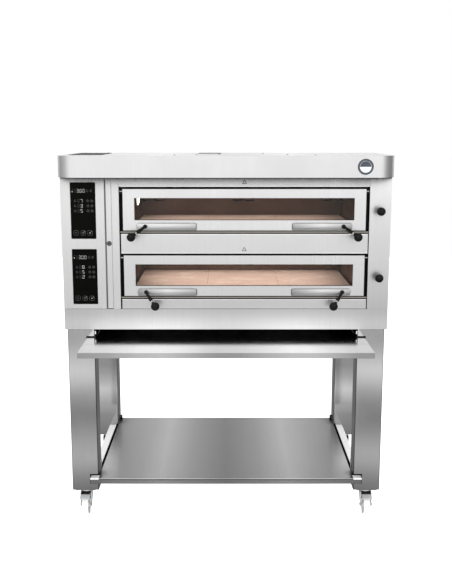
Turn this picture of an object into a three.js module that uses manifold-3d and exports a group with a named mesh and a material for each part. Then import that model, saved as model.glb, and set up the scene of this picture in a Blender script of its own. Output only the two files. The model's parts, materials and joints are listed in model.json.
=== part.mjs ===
// A two-deck electric pizza oven with a canopy, on a wheeled stand with two shelves.
// Units are millimetres. +X is right, +Y is back, +Z is up, and the floor is z = 0.
// All pieces hang in a group that stands in the body's front plane, so below y is the depth
// behind that plane, and anything with a negative y stands out in front of it.
import * as THREE from 'three';
import { mergeVertices } from 'three/addons/utils/BufferGeometryUtils.js';
import Module from 'manifold-3d';

const wasm = await Module();
wasm.setup();

// ---------------------------------------------------------------- driving dimensions

const GAP = 0.3; // clearance between pieces that touch
const SHEET = 1.5; // all sheet metal

// Body: the casing above the stand
const BODY_HALF = 785;
const BODY_DEPTH = 950;
const BODY_BOTTOM = 963;
const BODY_TOP = 1700;
const PLINTH_TOP = 1064;
const CASING_TOP = BODY_TOP - SHEET - GAP; // what stands under the top cover ends here
const CASING_BOTTOM = PLINTH_TOP + GAP;
const FACE_DEPTH = 33.7; // how far the front pieces fold back
const REAR_PANEL_Y = 925;
const SIDE_FOLD = 20; // how far the side panels fold inwards at the front and back
const VENT = { rows: 8, x: [-740, -630], bottom: 1250, pitch: 18, height: 7 };
const CABLE_GLAND = { x: -700, z: 1130, radius: 14, length: 19 };

// Front: columns, opening and panels
const DRAWER_LEFT = -BODY_HALF;
const DRAWER_RIGHT = -578;
const POST_LEFT = -571;
const STRIP_JOINT = -545;
const OPENING_LEFT = -509;
const OPENING_RIGHT = 683;
const MIDDLE_PANEL = { x: [-502, 678.5], z: [1336.3, 1429.8] };
const LOWER_PANEL = { x: [-502, 678.5], z: [1065.8, 1112.7] };
const TOP_STRIP_BOTTOM = 1654.3;

// Decks: everything on a deck is counted from the top of its hearth
const DECKS = { upper: 1448, lower: 1130.5 };
const DECK_X = 87.5; // centre line of the doors, chambers and hearths
const DOOR = { half: 578.5, height: 197, thickness: 30, drop: 1.5 };
const DOOR_VENT = { count: 6, pitch: 190, half: 40, y: [11, 19] }; // slots along the door's bottom edge
const WINDOW = { half: 523.5, low: 49, high: 154 };
const GLASS = { front: 12, thickness: 6, margin: 16 }; // margin is how far it reaches past the window
const HINGE_PIN = { y: 12, below: 12, radius: 5 };
const HANDLE_PLATE = { inner: 231, outer: 511, low: 5.5, high: 33.5, thickness: 7.7 };
const LEVER = { x: 473, z: 20, standOff: 75, reach: 75, ball: 20.5, foot: 9, sleeve: 7, rod: 4 };
const OUTWARD_DIP = 36; // degrees below the horizontal, upper door
const INWARD_DIP = 50; // degrees below the horizontal, lower door

const CHAMBER = { half: 565.5, front: 34, rear: 812, floor: -45, roof: 160 };
const FLANGE = { x: [-545, 715], low: -65, high: 248 };
const SILL = { low: -12.4, high: -6.2, front: 2, rear: 94.7 };
const STONE = { width: 370, thickness: 25, front: 95, rear: 805, joint: 0.6 };
const ELEMENT = { radius: 4, sides: 6, topZ: 130, bottomZ: -35, tipY: 139, plateY: 820, plateHalf: 520 };
const TOP_HAIRPIN = { half: 22, groupPitch: 444, pairPitch: 56 };
const BOTTOM_HAIRPIN = { half: 100 };
const LAMP = { y: 540, z: 115, radius: 38 };

// Canopy
const CANOPY = { half: 790, front: -80, rear: 550, top: 1801, corner: 75, rearCorner: 10 };
const CANOPY_SEGMENTS = 14;
const STEAM_OUTLET = { half: 150, z: [1720, 1780] };

// Service drawer and controls
const CONTROL_GLASS = { x: [-738.5, -620], upper: [1407, 1674], lower: [1089, 1356.5], thickness: 4 };
const DRAWER_FOLD = 22;
const CHASSIS = { x: [-756, -590], y: [DRAWER_FOLD + GAP, 520], z: [1075, 1686] };
const CONTACTORS = { count: 4, pitch: 120, bottom: 1150, height: 60, y: [120, 200], thickness: 70 };
const RELAY_BOARD = { y: [240, 460], z: [1420, 1640], thickness: 25 };
const TRANSFORMER = { y: [280, 400], z: [1140, 1260], thickness: 90 };
const LOCK = { x: -559, z: 1384, head: 11, headFront: -4, barrel: 7, barrelEnd: 24, cam: 9, camY: [20, 23] };
const DAMPER = { x: 730, aboveHearth: 93, ball: 20.3, standOff: 50, rod: 4, hole: 5, rodEnd: 120 };

// Stand
const LEG = { x: [641, 773], frontY: [0, 112], rearY: [819, 949], bottom: 134, corner: 5, cornerSegments: 4 };
const WORK_SLOT = { x: 682, z: [893, 929.5] }; // cut in the front legs for the work shelf
const FASCIA_SLOT = { x: 684, depth: 42, z: [165, 218] }; // cut in them for the lower shelf's fascia
const CASTOR_PLATE = { half: 50, bearing: 30, thickness: 6 };
const SIDE_RAIL = { x: [655, 691], z: [159, 195] };
const LOWER_SHELF = { half: 640.7, fasciaHalf: 682, lipDepth: 39, z: [166, 195] };
const WORK_SHELF = { half: 675, depth: 780, z: [898, 924] };
const SHELF_OUT = 310; // how far the work shelf is pulled out
const RUNNER = { x: [650, 681], z: [894.7, 927.3], crossY: 797 };

// Castors
const CASTOR = { x: 710, frontY: 58, rearY: 884, trail: 38, wheel: 50 };
const FORK = { cheek: [25, 28], top: 116, front: -45, rear: 24, eye: 12, head: 28, axle: 6, axleEnd: 31 };
const FORK_BRIDGE = { thickness: 3, front: -22 };
const PEDAL = { hinge: 104.5, hingeEnd: 24, tongue: 22, plate: 25, from: -34, bend: -60, tip: -87 };
const PEDAL_THICKNESS = 3.5;
const PEDAL_Z = { rear: 104, bend: 105, tip: 95 };
const SWIVEL_Z = 122;
const WHEEL_SIDES = 24;
// Radius and half width, from the bore out over the hub and the web to the tread
const WHEEL_PROFILE = [[6.6, 17.5], [13, 17.5], [16, 12], [40, 12], [43, 17], [47.5, 17], [50, 14]];

const FRONT_Y = -(BODY_DEPTH - SHELF_OUT) / 2;

// ---------------------------------------------------------------- solids

// A manifold solid of a three.js geometry; a solid passes through unchanged.
function solidOf(shape) {
  if (!shape.isBufferGeometry) {
    return shape;
  }
  const bare = shape.clone();
  bare.deleteAttribute('normal');
  bare.deleteAttribute('uv');
  const merged = mergeVertices(bare);
  return new wasm.Manifold(new wasm.Mesh({
    numProp: 3,
    vertProperties: new Float32Array(merged.attributes.position.array),
    triVerts: new Uint32Array(merged.index.array),
  }));
}

function geometryOf(solid) {
  const mesh = solid.getMesh();
  const geometry = new THREE.BufferGeometry();
  geometry.setAttribute('position', new THREE.BufferAttribute(mesh.vertProperties, 3));
  geometry.setIndex(new THREE.BufferAttribute(mesh.triVerts, 1));
  geometry.computeVertexNormals();
  return geometry;
}

const join = (...pieces) => pieces.map(solidOf).reduce((whole, piece) => whole.add(piece));
const cut = (piece, ...tools) =>
  tools.map(solidOf).reduce((whole, tool) => whole.subtract(tool), solidOf(piece));

// The same span on the left (side = -1) or on the right (side = 1) of the centre line
const mirrored = (side, [a, b]) => (side > 0 ? [a, b] : [-b, -a]);

function block([x0, x1], [y0, y1], [z0, z1]) {
  return new THREE.BoxGeometry(x1 - x0, y1 - y0, z1 - z0)
    .translate((x0 + x1) / 2, (y0 + y1) / 2, (z0 + z1) / 2);
}

// A box of sheet metal, without the sides that opens names.
function sheetBox([x0, x1], [y0, y1], [z0, z1], opens) {
  const reach = (side) => (opens.includes(side) ? 1 : -SHEET);
  const hollow = block(
    [x0 - reach('left'), x1 + reach('right')],
    [y0 - reach('front'), y1 + reach('back')],
    [z0 - reach('bottom'), z1 + reach('top')],
  );
  return cut(block([x0, x1], [y0, y1], [z0, z1]), hollow);
}

function rod(radius, from, to, sides = 16) {
  const start = new THREE.Vector3(...from);
  const end = new THREE.Vector3(...to);
  const along = end.clone().sub(start);
  const turn = new THREE.Quaternion()
    .setFromUnitVectors(new THREE.Vector3(0, 1, 0), along.clone().normalize());
  const middle = start.lerp(end, 0.5);
  return new THREE.CylinderGeometry(radius, radius, along.length(), sides)
    .applyQuaternion(turn)
    .translate(middle.x, middle.y, middle.z);
}

function ball(radius, [x, y, z]) {
  return new THREE.SphereGeometry(radius, 14, 9).translate(x, y, z);
}

// An outline in the X-Z plane, thickened from y0 back to y1.
function frontPlate(shape, [y0, y1]) {
  return new THREE.ExtrudeGeometry(shape, { depth: y1 - y0, bevelEnabled: false, curveSegments: 4 })
    .rotateX(Math.PI / 2)
    .translate(0, y1, 0);
}

// An outline in the Y-Z plane, thickened from x0 to x1.
function sidePlate(shape, [x0, x1]) {
  return new THREE.ExtrudeGeometry(shape, { depth: x1 - x0, bevelEnabled: false, curveSegments: 8 })
    .rotateY(Math.PI / 2)
    .rotateX(Math.PI / 2)
    .translate(x0, 0, 0);
}

function roundedRectangle([x0, x1], [y0, y1], near, far = near) {
  const shape = new THREE.Shape();
  const quarter = Math.PI / 2;
  shape.absarc(x0 + near, y0 + near, near, 2 * quarter, 3 * quarter);
  shape.absarc(x1 - near, y0 + near, near, 3 * quarter, 4 * quarter);
  shape.absarc(x1 - far, y1 - far, far, 0, quarter);
  shape.absarc(x0 + far, y1 - far, far, quarter, 2 * quarter);
  return shape;
}

// A block whose upright edges are rounded, by near at the front and by far at the back
function roundedBlock(x, y, [z0, z1], curveSegments, near, far = near) {
  const settings = { depth: z1 - z0, bevelEnabled: false, curveSegments };
  return new THREE.ExtrudeGeometry(roundedRectangle(x, y, near, far), settings).translate(0, 0, z0);
}

const oven = new THREE.Group();
oven.position.y = FRONT_Y;

function addPart(name, shape, { color, roughness, metalness }, parent = oven) {
  const geometry = shape.isBufferGeometry ? shape : geometryOf(shape);
  const mesh = new THREE.Mesh(geometry, new THREE.MeshStandardMaterial({ color, roughness, metalness }));
  mesh.name = name;
  parent.add(mesh);
}

// ---------------------------------------------------------------- finishes

const SATIN_STEEL = { color: 0xd6d6d4, roughness: 0.38, metalness: 0.9 };
const POLISHED_STEEL = { color: 0xdfe2e4, roughness: 0.2, metalness: 1 };
const STAND_STEEL = { color: 0xa9abad, roughness: 0.3, metalness: 0.95 };
const DARK_STEEL = { color: 0x5a4238, roughness: 0.7, metalness: 0.5 };
const ELEMENT_STEEL = { color: 0x4a4440, roughness: 0.55, metalness: 0.7 };
const HEARTH_STONE = { color: 0xd7bdb2, roughness: 0.95, metalness: 0 };
const CLEAR_GLASS = { color: 0xb8c0c0, roughness: 0.05, metalness: 0 };
const LAMP_GLASS = { color: 0xfbfbf6, roughness: 0.2, metalness: 0 };
const BLACK_GLASS = { color: 0x111110, roughness: 0.12, metalness: 0 };
const BLACK_PLASTIC = { color: 0x1b1b1b, roughness: 0.5, metalness: 0 };
const ZINC_STEEL = { color: 0xc9ccce, roughness: 0.35, metalness: 0.9 };
const WHITE_WHEEL = { color: 0xf1f1ee, roughness: 0.5, metalness: 0 };

// ---------------------------------------------------------------- casing

function addCanopy() {
  const hood = (inset, z0, z1) =>
    roundedBlock(
      [-CANOPY.half + inset, CANOPY.half - inset],
      [CANOPY.front + inset, CANOPY.rear - inset],
      [z0, z1],
      CANOPY_SEGMENTS,
      CANOPY.corner - inset,
      CANOPY.rearCorner - inset,
    );
  const bottom = BODY_TOP + GAP;
  const hollow = hood(SHEET, bottom + SHEET, CANOPY.top - SHEET);
  const overhang = block([-CANOPY.half, CANOPY.half], [CANOPY.front, 0], [BODY_TOP - 1, BODY_TOP + 10]);
  const intake = solidOf(hood(SHEET, BODY_TOP - 1, BODY_TOP + 10)).intersect(solidOf(overhang));
  const outletX = [-STEAM_OUTLET.half, STEAM_OUTLET.half];
  const steamOutlet = block(outletX, [CANOPY.rear - 10, CANOPY.rear + 1], STEAM_OUTLET.z);
  addPart('canopy', cut(hood(0, bottom, CANOPY.top), hollow, intake, steamOutlet), SATIN_STEEL);
}

function addTopCover() {
  const stripX = [OPENING_LEFT + GAP, OPENING_RIGHT - GAP];
  const lid = block([-BODY_HALF, BODY_HALF], [0, BODY_DEPTH], [BODY_TOP - SHEET, BODY_TOP]);
  const strip = block(stripX, [0, SHEET], [TOP_STRIP_BOTTOM, BODY_TOP - 1]);
  const fold = block(stripX, [0, FACE_DEPTH], [TOP_STRIP_BOTTOM, TOP_STRIP_BOTTOM + SHEET]);
  addPart('top_cover', join(lid, strip, fold), SATIN_STEEL);
}

function addSidePanels() {
  const wall = { y: [FACE_DEPTH + GAP, BODY_DEPTH], z: [CASING_BOTTOM, CASING_TOP] };
  const foldedX = [BODY_HALF - SIDE_FOLD, BODY_HALF];
  const left = sheetBox(mirrored(-1, foldedX), wall.y, wall.z, ['right', 'top', 'bottom']);
  const right = sheetBox(foldedX, wall.y, wall.z, ['left', 'top', 'bottom']);
  addPart('side_panel_left', left, SATIN_STEEL);
  addPart('side_panel_right', right, SATIN_STEEL);
}

function addRearPanel() {
  const half = BODY_HALF - SHEET - GAP;
  const y = [REAR_PANEL_Y, REAR_PANEL_Y + SHEET];
  const glandEnd = (depth) => [CABLE_GLAND.x, REAR_PANEL_Y + depth, CABLE_GLAND.z];
  const cableGland = rod(CABLE_GLAND.radius, glandEnd(SHEET / 2), glandEnd(CABLE_GLAND.length));
  const ventSlots = [];
  for (let row = 0; row < VENT.rows; row += 1) {
    const z = VENT.bottom + row * VENT.pitch;
    ventSlots.push(block(VENT.x, [y[0] - 1, y[1] + 1], [z, z + VENT.height]));
  }
  const panel = cut(block([-half, half], y, [CASING_BOTTOM, CASING_TOP]), ...ventSlots);
  addPart('rear_panel', join(panel, cableGland), SATIN_STEEL);
}

function addFrontPieces() {
  const height = [CASING_BOTTOM, CASING_TOP];
  const depth = [0, FACE_DEPTH];

  const damperHoles = Object.values(DECKS).map((hearth) => {
    const z = hearth + DAMPER.aboveHearth;
    return rod(DAMPER.hole, [DAMPER.x, -1, z], [DAMPER.x, SHEET + 1, z]);
  });
  const column = sheetBox([OPENING_RIGHT, BODY_HALF], depth, height, ['back', 'top', 'bottom']);
  addPart('right_column', cut(column, ...damperHoles), SATIN_STEEL);

  const grooveX = [STRIP_JOINT - 1, STRIP_JOINT + 1];
  const jointGroove = block(grooveX, [-1, SHEET / 2], [CASING_BOTTOM - 1, BODY_TOP]);
  const lockHole = rod(LOCK.barrel + 1, [LOCK.x, -1, LOCK.z], [LOCK.x, SHEET + 1, LOCK.z]);
  const post = sheetBox([POST_LEFT, OPENING_LEFT], depth, height, ['back', 'top', 'bottom']);
  addPart('left_post', cut(post, jointGroove, lockHole), SATIN_STEEL);

  addPart('middle_panel', sheetBox(MIDDLE_PANEL.x, depth, MIDDLE_PANEL.z, ['back']), SATIN_STEEL);
  addPart('lower_panel', sheetBox(LOWER_PANEL.x, depth, LOWER_PANEL.z, ['back']), SATIN_STEEL);
}

function addPlinth() {
  const plinth = sheetBox([-BODY_HALF, BODY_HALF], [0, BODY_DEPTH], [BODY_BOTTOM, PLINTH_TOP], ['top']);
  addPart('base_plinth', plinth, SATIN_STEEL);
}

// ---------------------------------------------------------------- chambers

// The centre lines of the hairpins: three pairs under the roof, one loop under each stone
function hairpins(hearth) {
  const list = [];
  for (const group of [-1, 0, 1]) {
    for (const half of [-0.5, 0.5]) {
      const x = DECK_X + group * TOP_HAIRPIN.groupPitch + half * TOP_HAIRPIN.pairPitch;
      list.push({ x, z: hearth + ELEMENT.topZ, half: TOP_HAIRPIN.half });
    }
    list.push({
      x: DECK_X + group * STONE.width,
      z: hearth + ELEMENT.bottomZ,
      half: BOTTOM_HAIRPIN.half,
    });
  }
  return list;
}

class HalfTurn extends THREE.Curve {
  constructor(centre, radius) {
    super();
    this.centre = centre;
    this.radius = radius;
  }

  getPoint(t, target = new THREE.Vector3()) {
    const angle = Math.PI * (1 + t);
    const [x, y, z] = this.centre;
    return target.set(x + this.radius * Math.cos(angle), y + this.radius * Math.sin(angle), z);
  }
}

function hairpin({ x, z, half }) {
  const bendY = ELEMENT.tipY + half;
  const section = new THREE.Shape().absarc(0, 0, ELEMENT.radius, 0, 2 * Math.PI);
  const bend = new THREE.ExtrudeGeometry(section, {
    steps: 6,
    curveSegments: ELEMENT.sides / 2,
    bevelEnabled: false,
    extrudePath: new HalfTurn([x, bendY, z], half),
  });
  const legs = [-half, half].map((side) =>
    rod(ELEMENT.radius, [x + side, bendY - 0.5, z], [x + side, ELEMENT.plateY + 1, z], ELEMENT.sides));
  return join(bend, ...legs);
}

function chamberLiner(hearth) {
  const innerX = [DECK_X - CHAMBER.half, DECK_X + CHAMBER.half];
  const outerX = [innerX[0] - SHEET, innerX[1] + SHEET];
  const floor = hearth + CHAMBER.floor;
  const roof = hearth + CHAMBER.roof;
  const flangeY = [CHAMBER.front, CHAMBER.front + SHEET];
  const shell = join(
    block(outerX, [CHAMBER.front, CHAMBER.rear + SHEET], [floor - SHEET, roof + SHEET]),
    block(FLANGE.x, flangeY, [hearth + FLANGE.low, hearth + FLANGE.high]),
  );
  const cavity = block(innerX, [flangeY[1], CHAMBER.rear], [floor, roof]);
  const mouth = block(innerX, [CHAMBER.front - 1, flangeY[1] + 1], [hearth + SILL.low, roof]);

  const sillZ = [hearth + SILL.low, hearth + SILL.high];
  const ledge = block([OPENING_LEFT + 2, OPENING_RIGHT - 2], [SILL.front, flangeY[1]], sillZ);
  const bridge = block([innerX[0] - 1, innerX[1] + 1], [CHAMBER.front, SILL.rear], sillZ);
  const supports = [-1.5, -0.5, 0.5, 1.5].map((step) => {
    const x = DECK_X + step * STONE.width;
    const top = hearth - STONE.thickness - GAP;
    return block([x - 10, x + 10], [STONE.front, CHAMBER.rear + 1], [floor - 1, top]);
  });
  const elementHoles = hairpins(hearth).flatMap(({ x, z, half }) =>
    [-half, half].map((side) => {
      const ends = [CHAMBER.rear - 2, CHAMBER.rear + SHEET + 2].map((y) => [x + side, y, z]);
      return rod(ELEMENT.radius + 2 * GAP, ...ends, ELEMENT.sides);
    }));
  return cut(join(cut(shell, cavity, mouth), ledge, bridge, ...supports), ...elementHoles);
}

function addStones(deck, hearth) {
  ['left', 'centre', 'right'].forEach((place, index) => {
    const middle = DECK_X + (index - 1) * STONE.width;
    const half = (STONE.width - STONE.joint) / 2;
    const z = [hearth - STONE.thickness, hearth];
    const stone = block([middle - half, middle + half], [STONE.front, STONE.rear], z);
    addPart(`${deck}_hearth_stone_${place}`, stone, HEARTH_STONE);
  });
}

function addElements(deck, hearth) {
  const plate = block(
    [DECK_X - ELEMENT.plateHalf, DECK_X + ELEMENT.plateHalf],
    [ELEMENT.plateY, ELEMENT.plateY + SHEET],
    [hearth + CHAMBER.floor, hearth + ELEMENT.topZ + 3 * ELEMENT.radius],
  );
  addPart(`${deck}_heating_elements`, join(plate, ...hairpins(hearth).map(hairpin)), ELEMENT_STEEL);
}

function addLamp(deck, hearth) {
  const profile = [[0, 0], [1, 0], [1, 0.12], [0.85, 0.24], [0.5, 0.32], [0, 0.34]];
  const points = profile.map(([across, out]) => new THREE.Vector2(across, out).multiplyScalar(LAMP.radius));
  const wallX = DECK_X - CHAMBER.half + GAP;
  const lens = new THREE.LatheGeometry(points, 24)
    .rotateZ(-Math.PI / 2)
    .translate(wallX, LAMP.y, hearth + LAMP.z);
  addPart(`${deck}_chamber_lamp`, solidOf(lens), LAMP_GLASS);
}

// ---------------------------------------------------------------- doors

// A hollow frame of sheet, open only through the vent slots along its bottom edge
function doorFrame() {
  const body = block([-DOOR.half, DOOR.half], [0, DOOR.thickness], [0, DOOR.height]);
  const opening = block([-WINDOW.half, WINDOW.half], [-1, DOOR.thickness + 1], [WINDOW.low, WINDOW.high]);
  const rebate = block(
    [-WINDOW.half - GLASS.margin, WINDOW.half + GLASS.margin],
    [GLASS.front, DOOR.thickness + 1],
    [WINDOW.low - GLASS.margin, WINDOW.high + GLASS.margin],
  );
  const inner = block(
    [-DOOR.half + SHEET, DOOR.half - SHEET],
    [SHEET, DOOR.thickness - SHEET],
    [SHEET, DOOR.height - SHEET],
  );
  const core = block(
    [-WINDOW.half - GLASS.margin - SHEET, WINDOW.half + GLASS.margin + SHEET],
    [0, DOOR.thickness],
    [WINDOW.low - GLASS.margin - SHEET, WINDOW.high + GLASS.margin + SHEET],
  );
  const vents = Array.from({ length: DOOR_VENT.count }, (_, index) => {
    const x = (index - (DOOR_VENT.count - 1) / 2) * DOOR_VENT.pitch;
    return block([x - DOOR_VENT.half, x + DOOR_VENT.half], DOOR_VENT.y, [-1, SHEET + 1]);
  });
  const pinZ = DOOR.height - HINGE_PIN.below;
  const pinEnds = [OPENING_LEFT - DECK_X + 0.4, OPENING_RIGHT - DECK_X - 0.4];
  const pins = pinEnds.map((end) => {
    const root = Math.sign(end) * (DOOR.half - 1);
    return rod(HINGE_PIN.radius, [root, HINGE_PIN.y, pinZ], [end, HINGE_PIN.y, pinZ], 12);
  });
  return join(cut(body, opening, rebate, cut(inner, core), ...vents), ...pins);
}

function doorGlass() {
  const margin = GLASS.margin - GAP;
  return block(
    [-WINDOW.half - margin, WINDOW.half + margin],
    [GLASS.front + GAP, GLASS.front + GAP + GLASS.thickness],
    [WINDOW.low - margin, WINDOW.high + margin],
  );
}

function handlePlate(side) {
  const x = mirrored(side, [HANDLE_PLATE.inner, HANDLE_PLATE.outer]);
  const outline = roundedRectangle(x, [HANDLE_PLATE.low, HANDLE_PLATE.high], 5);
  return frontPlate(outline, [-GAP - HANDLE_PLATE.thickness, -GAP]);
}

// A straight lever on a round foot that stands on the handle plate: a sleeve, a rod and a ball
function lever(side, outward, dip) {
  const angle = THREE.MathUtils.degToRad(dip);
  const across = side * (outward ? 1 : -1) * LEVER.reach * Math.cos(angle);
  const footY = -HANDLE_PLATE.thickness - 2 * GAP;
  const root = new THREE.Vector3(0, footY - LEVER.sleeve, 0);
  const tip = new THREE.Vector3(across, -LEVER.standOff, -LEVER.reach * Math.sin(angle));
  const at = (share) => root.clone().lerp(tip, share).toArray();
  return join(
    rod(LEVER.foot, [0, footY - LEVER.foot, 0], [0, footY, 0]),
    rod(LEVER.sleeve, at(0), at(0.6)),
    rod(LEVER.rod, at(0.5), at(0.95)),
    ball(LEVER.ball, tip.toArray()),
  );
}

function addDoor(deck, hearth, outward, dip) {
  const door = new THREE.Group();
  door.position.set(DECK_X, 0, hearth - DOOR.drop);
  oven.add(door);
  addPart(`${deck}_door_frame`, doorFrame(), SATIN_STEEL, door);
  addPart(`${deck}_door_glass`, doorGlass(), CLEAR_GLASS, door);
  for (const [place, side] of [['left', -1], ['right', 1]]) {
    addPart(`${deck}_door_plate_${place}`, solidOf(handlePlate(side)), POLISHED_STEEL, door);
    const pivot = new THREE.Group();
    pivot.position.set(side * LEVER.x, 0, LEVER.z);
    door.add(pivot);
    addPart(`${deck}_door_lever_${place}`, lever(side, outward, dip), BLACK_PLASTIC, pivot);
  }
}

// ---------------------------------------------------------------- controls

function addServiceDrawer() {
  const cutouts = [CONTROL_GLASS.upper, CONTROL_GLASS.lower].map(([z0, z1]) => {
    const x = [CONTROL_GLASS.x[0] - GAP, CONTROL_GLASS.x[1] + GAP];
    return block(x, [-1, SHEET + 1], [z0 - GAP, z1 + GAP]);
  });
  const faceZ = [CASING_BOTTOM + 1, CASING_TOP - 1];
  const face = sheetBox([DRAWER_LEFT, DRAWER_RIGHT], [0, DRAWER_FOLD], faceZ, ['back']);
  addPart('drawer_front', cut(face, ...cutouts), SATIN_STEEL);

  const { x, y, z } = CHASSIS;
  const side = block([x[1] - SHEET, x[1]], y, z);
  const floor = block(x, y, [z[0], z[0] + SHEET]);
  const lid = block(x, y, [z[1] - SHEET, z[1]]);
  const onSide = (fitting) => block([x[1] - SHEET - fitting.thickness, x[1] - 1], fitting.y, fitting.z);
  const contactors = Array.from({ length: CONTACTORS.count }, (_, row) => {
    const bottom = CONTACTORS.bottom + row * CONTACTORS.pitch;
    return onSide({ ...CONTACTORS, z: [bottom, bottom + CONTACTORS.height] });
  });
  const fittings = [...contactors, onSide(RELAY_BOARD), onSide(TRANSFORMER)];
  addPart('drawer_chassis', join(side, floor, lid, ...fittings), ZINC_STEEL);

  for (const deck of Object.keys(DECKS)) {
    const outline = roundedRectangle(CONTROL_GLASS.x, CONTROL_GLASS[deck], 5);
    const glass = frontPlate(outline, [-1.5, -1.5 + CONTROL_GLASS.thickness]);
    addPart(`${deck}_control_glass`, solidOf(glass), BLACK_GLASS);
  }
}

function addLock() {
  const turned = (radius, y0, y1, sides) => rod(radius, [LOCK.x, y0, LOCK.z], [LOCK.x, y1, LOCK.z], sides);
  const lock = join(
    turned(LOCK.head, LOCK.headFront, -GAP, 20),
    turned(LOCK.barrel, -1, LOCK.barrelEnd),
    turned(LOCK.cam, ...LOCK.camY),
  );
  addPart('drawer_lock', lock, ZINC_STEEL);
}

function addDampers() {
  for (const [deck, hearth] of Object.entries(DECKS)) {
    const z = hearth + DAMPER.aboveHearth;
    const pull = join(
      rod(DAMPER.rod, [DAMPER.x, -DAMPER.standOff, z], [DAMPER.x, DAMPER.rodEnd, z]),
      ball(DAMPER.ball, [DAMPER.x, -DAMPER.standOff, z]),
    );
    addPart(`${deck}_damper_pull`, pull, BLACK_PLASTIC);
  }
}

// ---------------------------------------------------------------- stand

function leg(side, depth, castorY, notched) {
  const [x0, x1] = mirrored(side, LEG.x);
  const prism = (inset, z) =>
    roundedBlock(
      [x0 + inset, x1 - inset],
      [depth[0] + inset, depth[1] - inset],
      z,
      LEG.cornerSegments,
      LEG.corner - inset,
    );
  const top = BODY_BOTTOM - GAP;
  const tube = cut(prism(0, [LEG.bottom, top]), prism(SHEET, [LEG.bottom + SHEET, top + 1]));
  const centre = side * CASTOR.x;
  const plateBottom = LEG.bottom - CASTOR_PLATE.thickness;
  const castorPlate = block(
    [centre - CASTOR_PLATE.half, centre + CASTOR_PLATE.half],
    [castorY - CASTOR_PLATE.half, castorY + CASTOR_PLATE.half],
    [plateBottom, LEG.bottom + 1],
  );
  const bearingEnds = [SWIVEL_Z, plateBottom + 1].map((z) => [centre, castorY, z]);
  const bearing = rod(CASTOR_PLATE.bearing, ...bearingEnds, 20);
  const whole = join(tube, castorPlate, bearing);
  if (!notched) {
    return whole;
  }
  const slotX = (slot) => mirrored(side, [LEG.x[0] - 1, slot.x]);
  const shelfSlot = block(slotX(WORK_SLOT), [-1, depth[1] + 1], WORK_SLOT.z);
  const fasciaSlot = block(slotX(FASCIA_SLOT), [-1, FASCIA_SLOT.depth], FASCIA_SLOT.z);
  return cut(whole, shelfSlot, fasciaSlot);
}

function addLegs() {
  for (const [place, side] of [['left', -1], ['right', 1]]) {
    addPart(`leg_front_${place}`, leg(side, LEG.frontY, CASTOR.frontY, true), STAND_STEEL);
    addPart(`leg_rear_${place}`, leg(side, LEG.rearY, CASTOR.rearY, false), STAND_STEEL);
    const railY = [LEG.frontY[1] + GAP, LEG.rearY[0] - GAP];
    const rail = sheetBox(mirrored(side, SIDE_RAIL.x), railY, SIDE_RAIL.z, ['bottom', 'front', 'back']);
    addPart(`side_rail_${place}`, rail, STAND_STEEL);
  }
}

function addShelves() {
  const { half, fasciaHalf, lipDepth, z } = LOWER_SHELF;
  const tray = sheetBox([-half, half], [0, LEG.rearY[1]], z, ['bottom']);
  const fascia = block([-fasciaHalf, fasciaHalf], [0, SHEET], z);
  const lip = block([-fasciaHalf, fasciaHalf], [0, lipDepth], [z[1] - SHEET, z[1]]);
  addPart('lower_shelf', join(tray, fascia, lip), STAND_STEEL);

  const workY = [-SHELF_OUT, WORK_SHELF.depth - SHELF_OUT];
  const workShelf = sheetBox([-WORK_SHELF.half, WORK_SHELF.half], workY, WORK_SHELF.z, ['bottom']);
  addPart('work_shelf', workShelf, STAND_STEEL);

  const runnerY = [LEG.frontY[1] + GAP, LEG.rearY[0] - GAP];
  const left = sheetBox(mirrored(-1, RUNNER.x), runnerY, RUNNER.z, ['right', 'front', 'back']);
  const right = sheetBox(RUNNER.x, runnerY, RUNNER.z, ['left', 'front', 'back']);
  const crossBar = block([-RUNNER.x[1], RUNNER.x[1]], [RUNNER.crossY, runnerY[1]], RUNNER.z);
  addPart('runner_frame', join(left, right, crossBar), STAND_STEEL);
}

// ---------------------------------------------------------------- castors

// Castors are drawn about their swivel axis, with the wheel swung forwards.
function castorFork() {
  const outline = new THREE.Shape();
  outline.moveTo(FORK.rear, FORK.top);
  outline.lineTo(FORK.front, FORK.top);
  outline.lineTo(-CASTOR.trail - FORK.eye, CASTOR.wheel);
  outline.absarc(-CASTOR.trail, CASTOR.wheel, FORK.eye, Math.PI, 2 * Math.PI);
  outline.quadraticCurveTo(FORK.rear + 8, 0.8 * FORK.top, FORK.rear, FORK.top);
  const [inner, outer] = FORK.cheek;
  const axleEnds = [-FORK.axleEnd, FORK.axleEnd].map((x) => [x, -CASTOR.trail, CASTOR.wheel]);
  return join(
    rod(FORK.head, [0, 0, FORK.top - 1], [0, 0, SWIVEL_Z - GAP], 20),
    block([-outer, outer], [FORK_BRIDGE.front, FORK.rear], [FORK.top - FORK_BRIDGE.thickness, FORK.top]),
    sidePlate(outline, [inner, outer]),
    sidePlate(outline, [-outer, -inner]),
    rod(FORK.axle, axleEnds[0], axleEnds[1], 12),
  );
}

// The tread's facets are tangent to the wheel's true radius, with one of them flat on the floor.
function castorWheel() {
  const stretch = 1 / Math.cos(Math.PI / WHEEL_SIDES);
  const lowHalf = WHEEL_PROFILE.map(([r, x]) => [r, -x]).reverse();
  const points = [...WHEEL_PROFILE, ...lowHalf, WHEEL_PROFILE[0]];
  const outline = points.map(([r, x]) => new THREE.Vector2(r * stretch, x));
  return new THREE.LatheGeometry(outline.reverse(), WHEEL_SIDES)
    .rotateY(Math.PI / WHEEL_SIDES)
    .rotateZ(Math.PI / 2)
    .translate(0, -CASTOR.trail, CASTOR.wheel);
}

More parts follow.
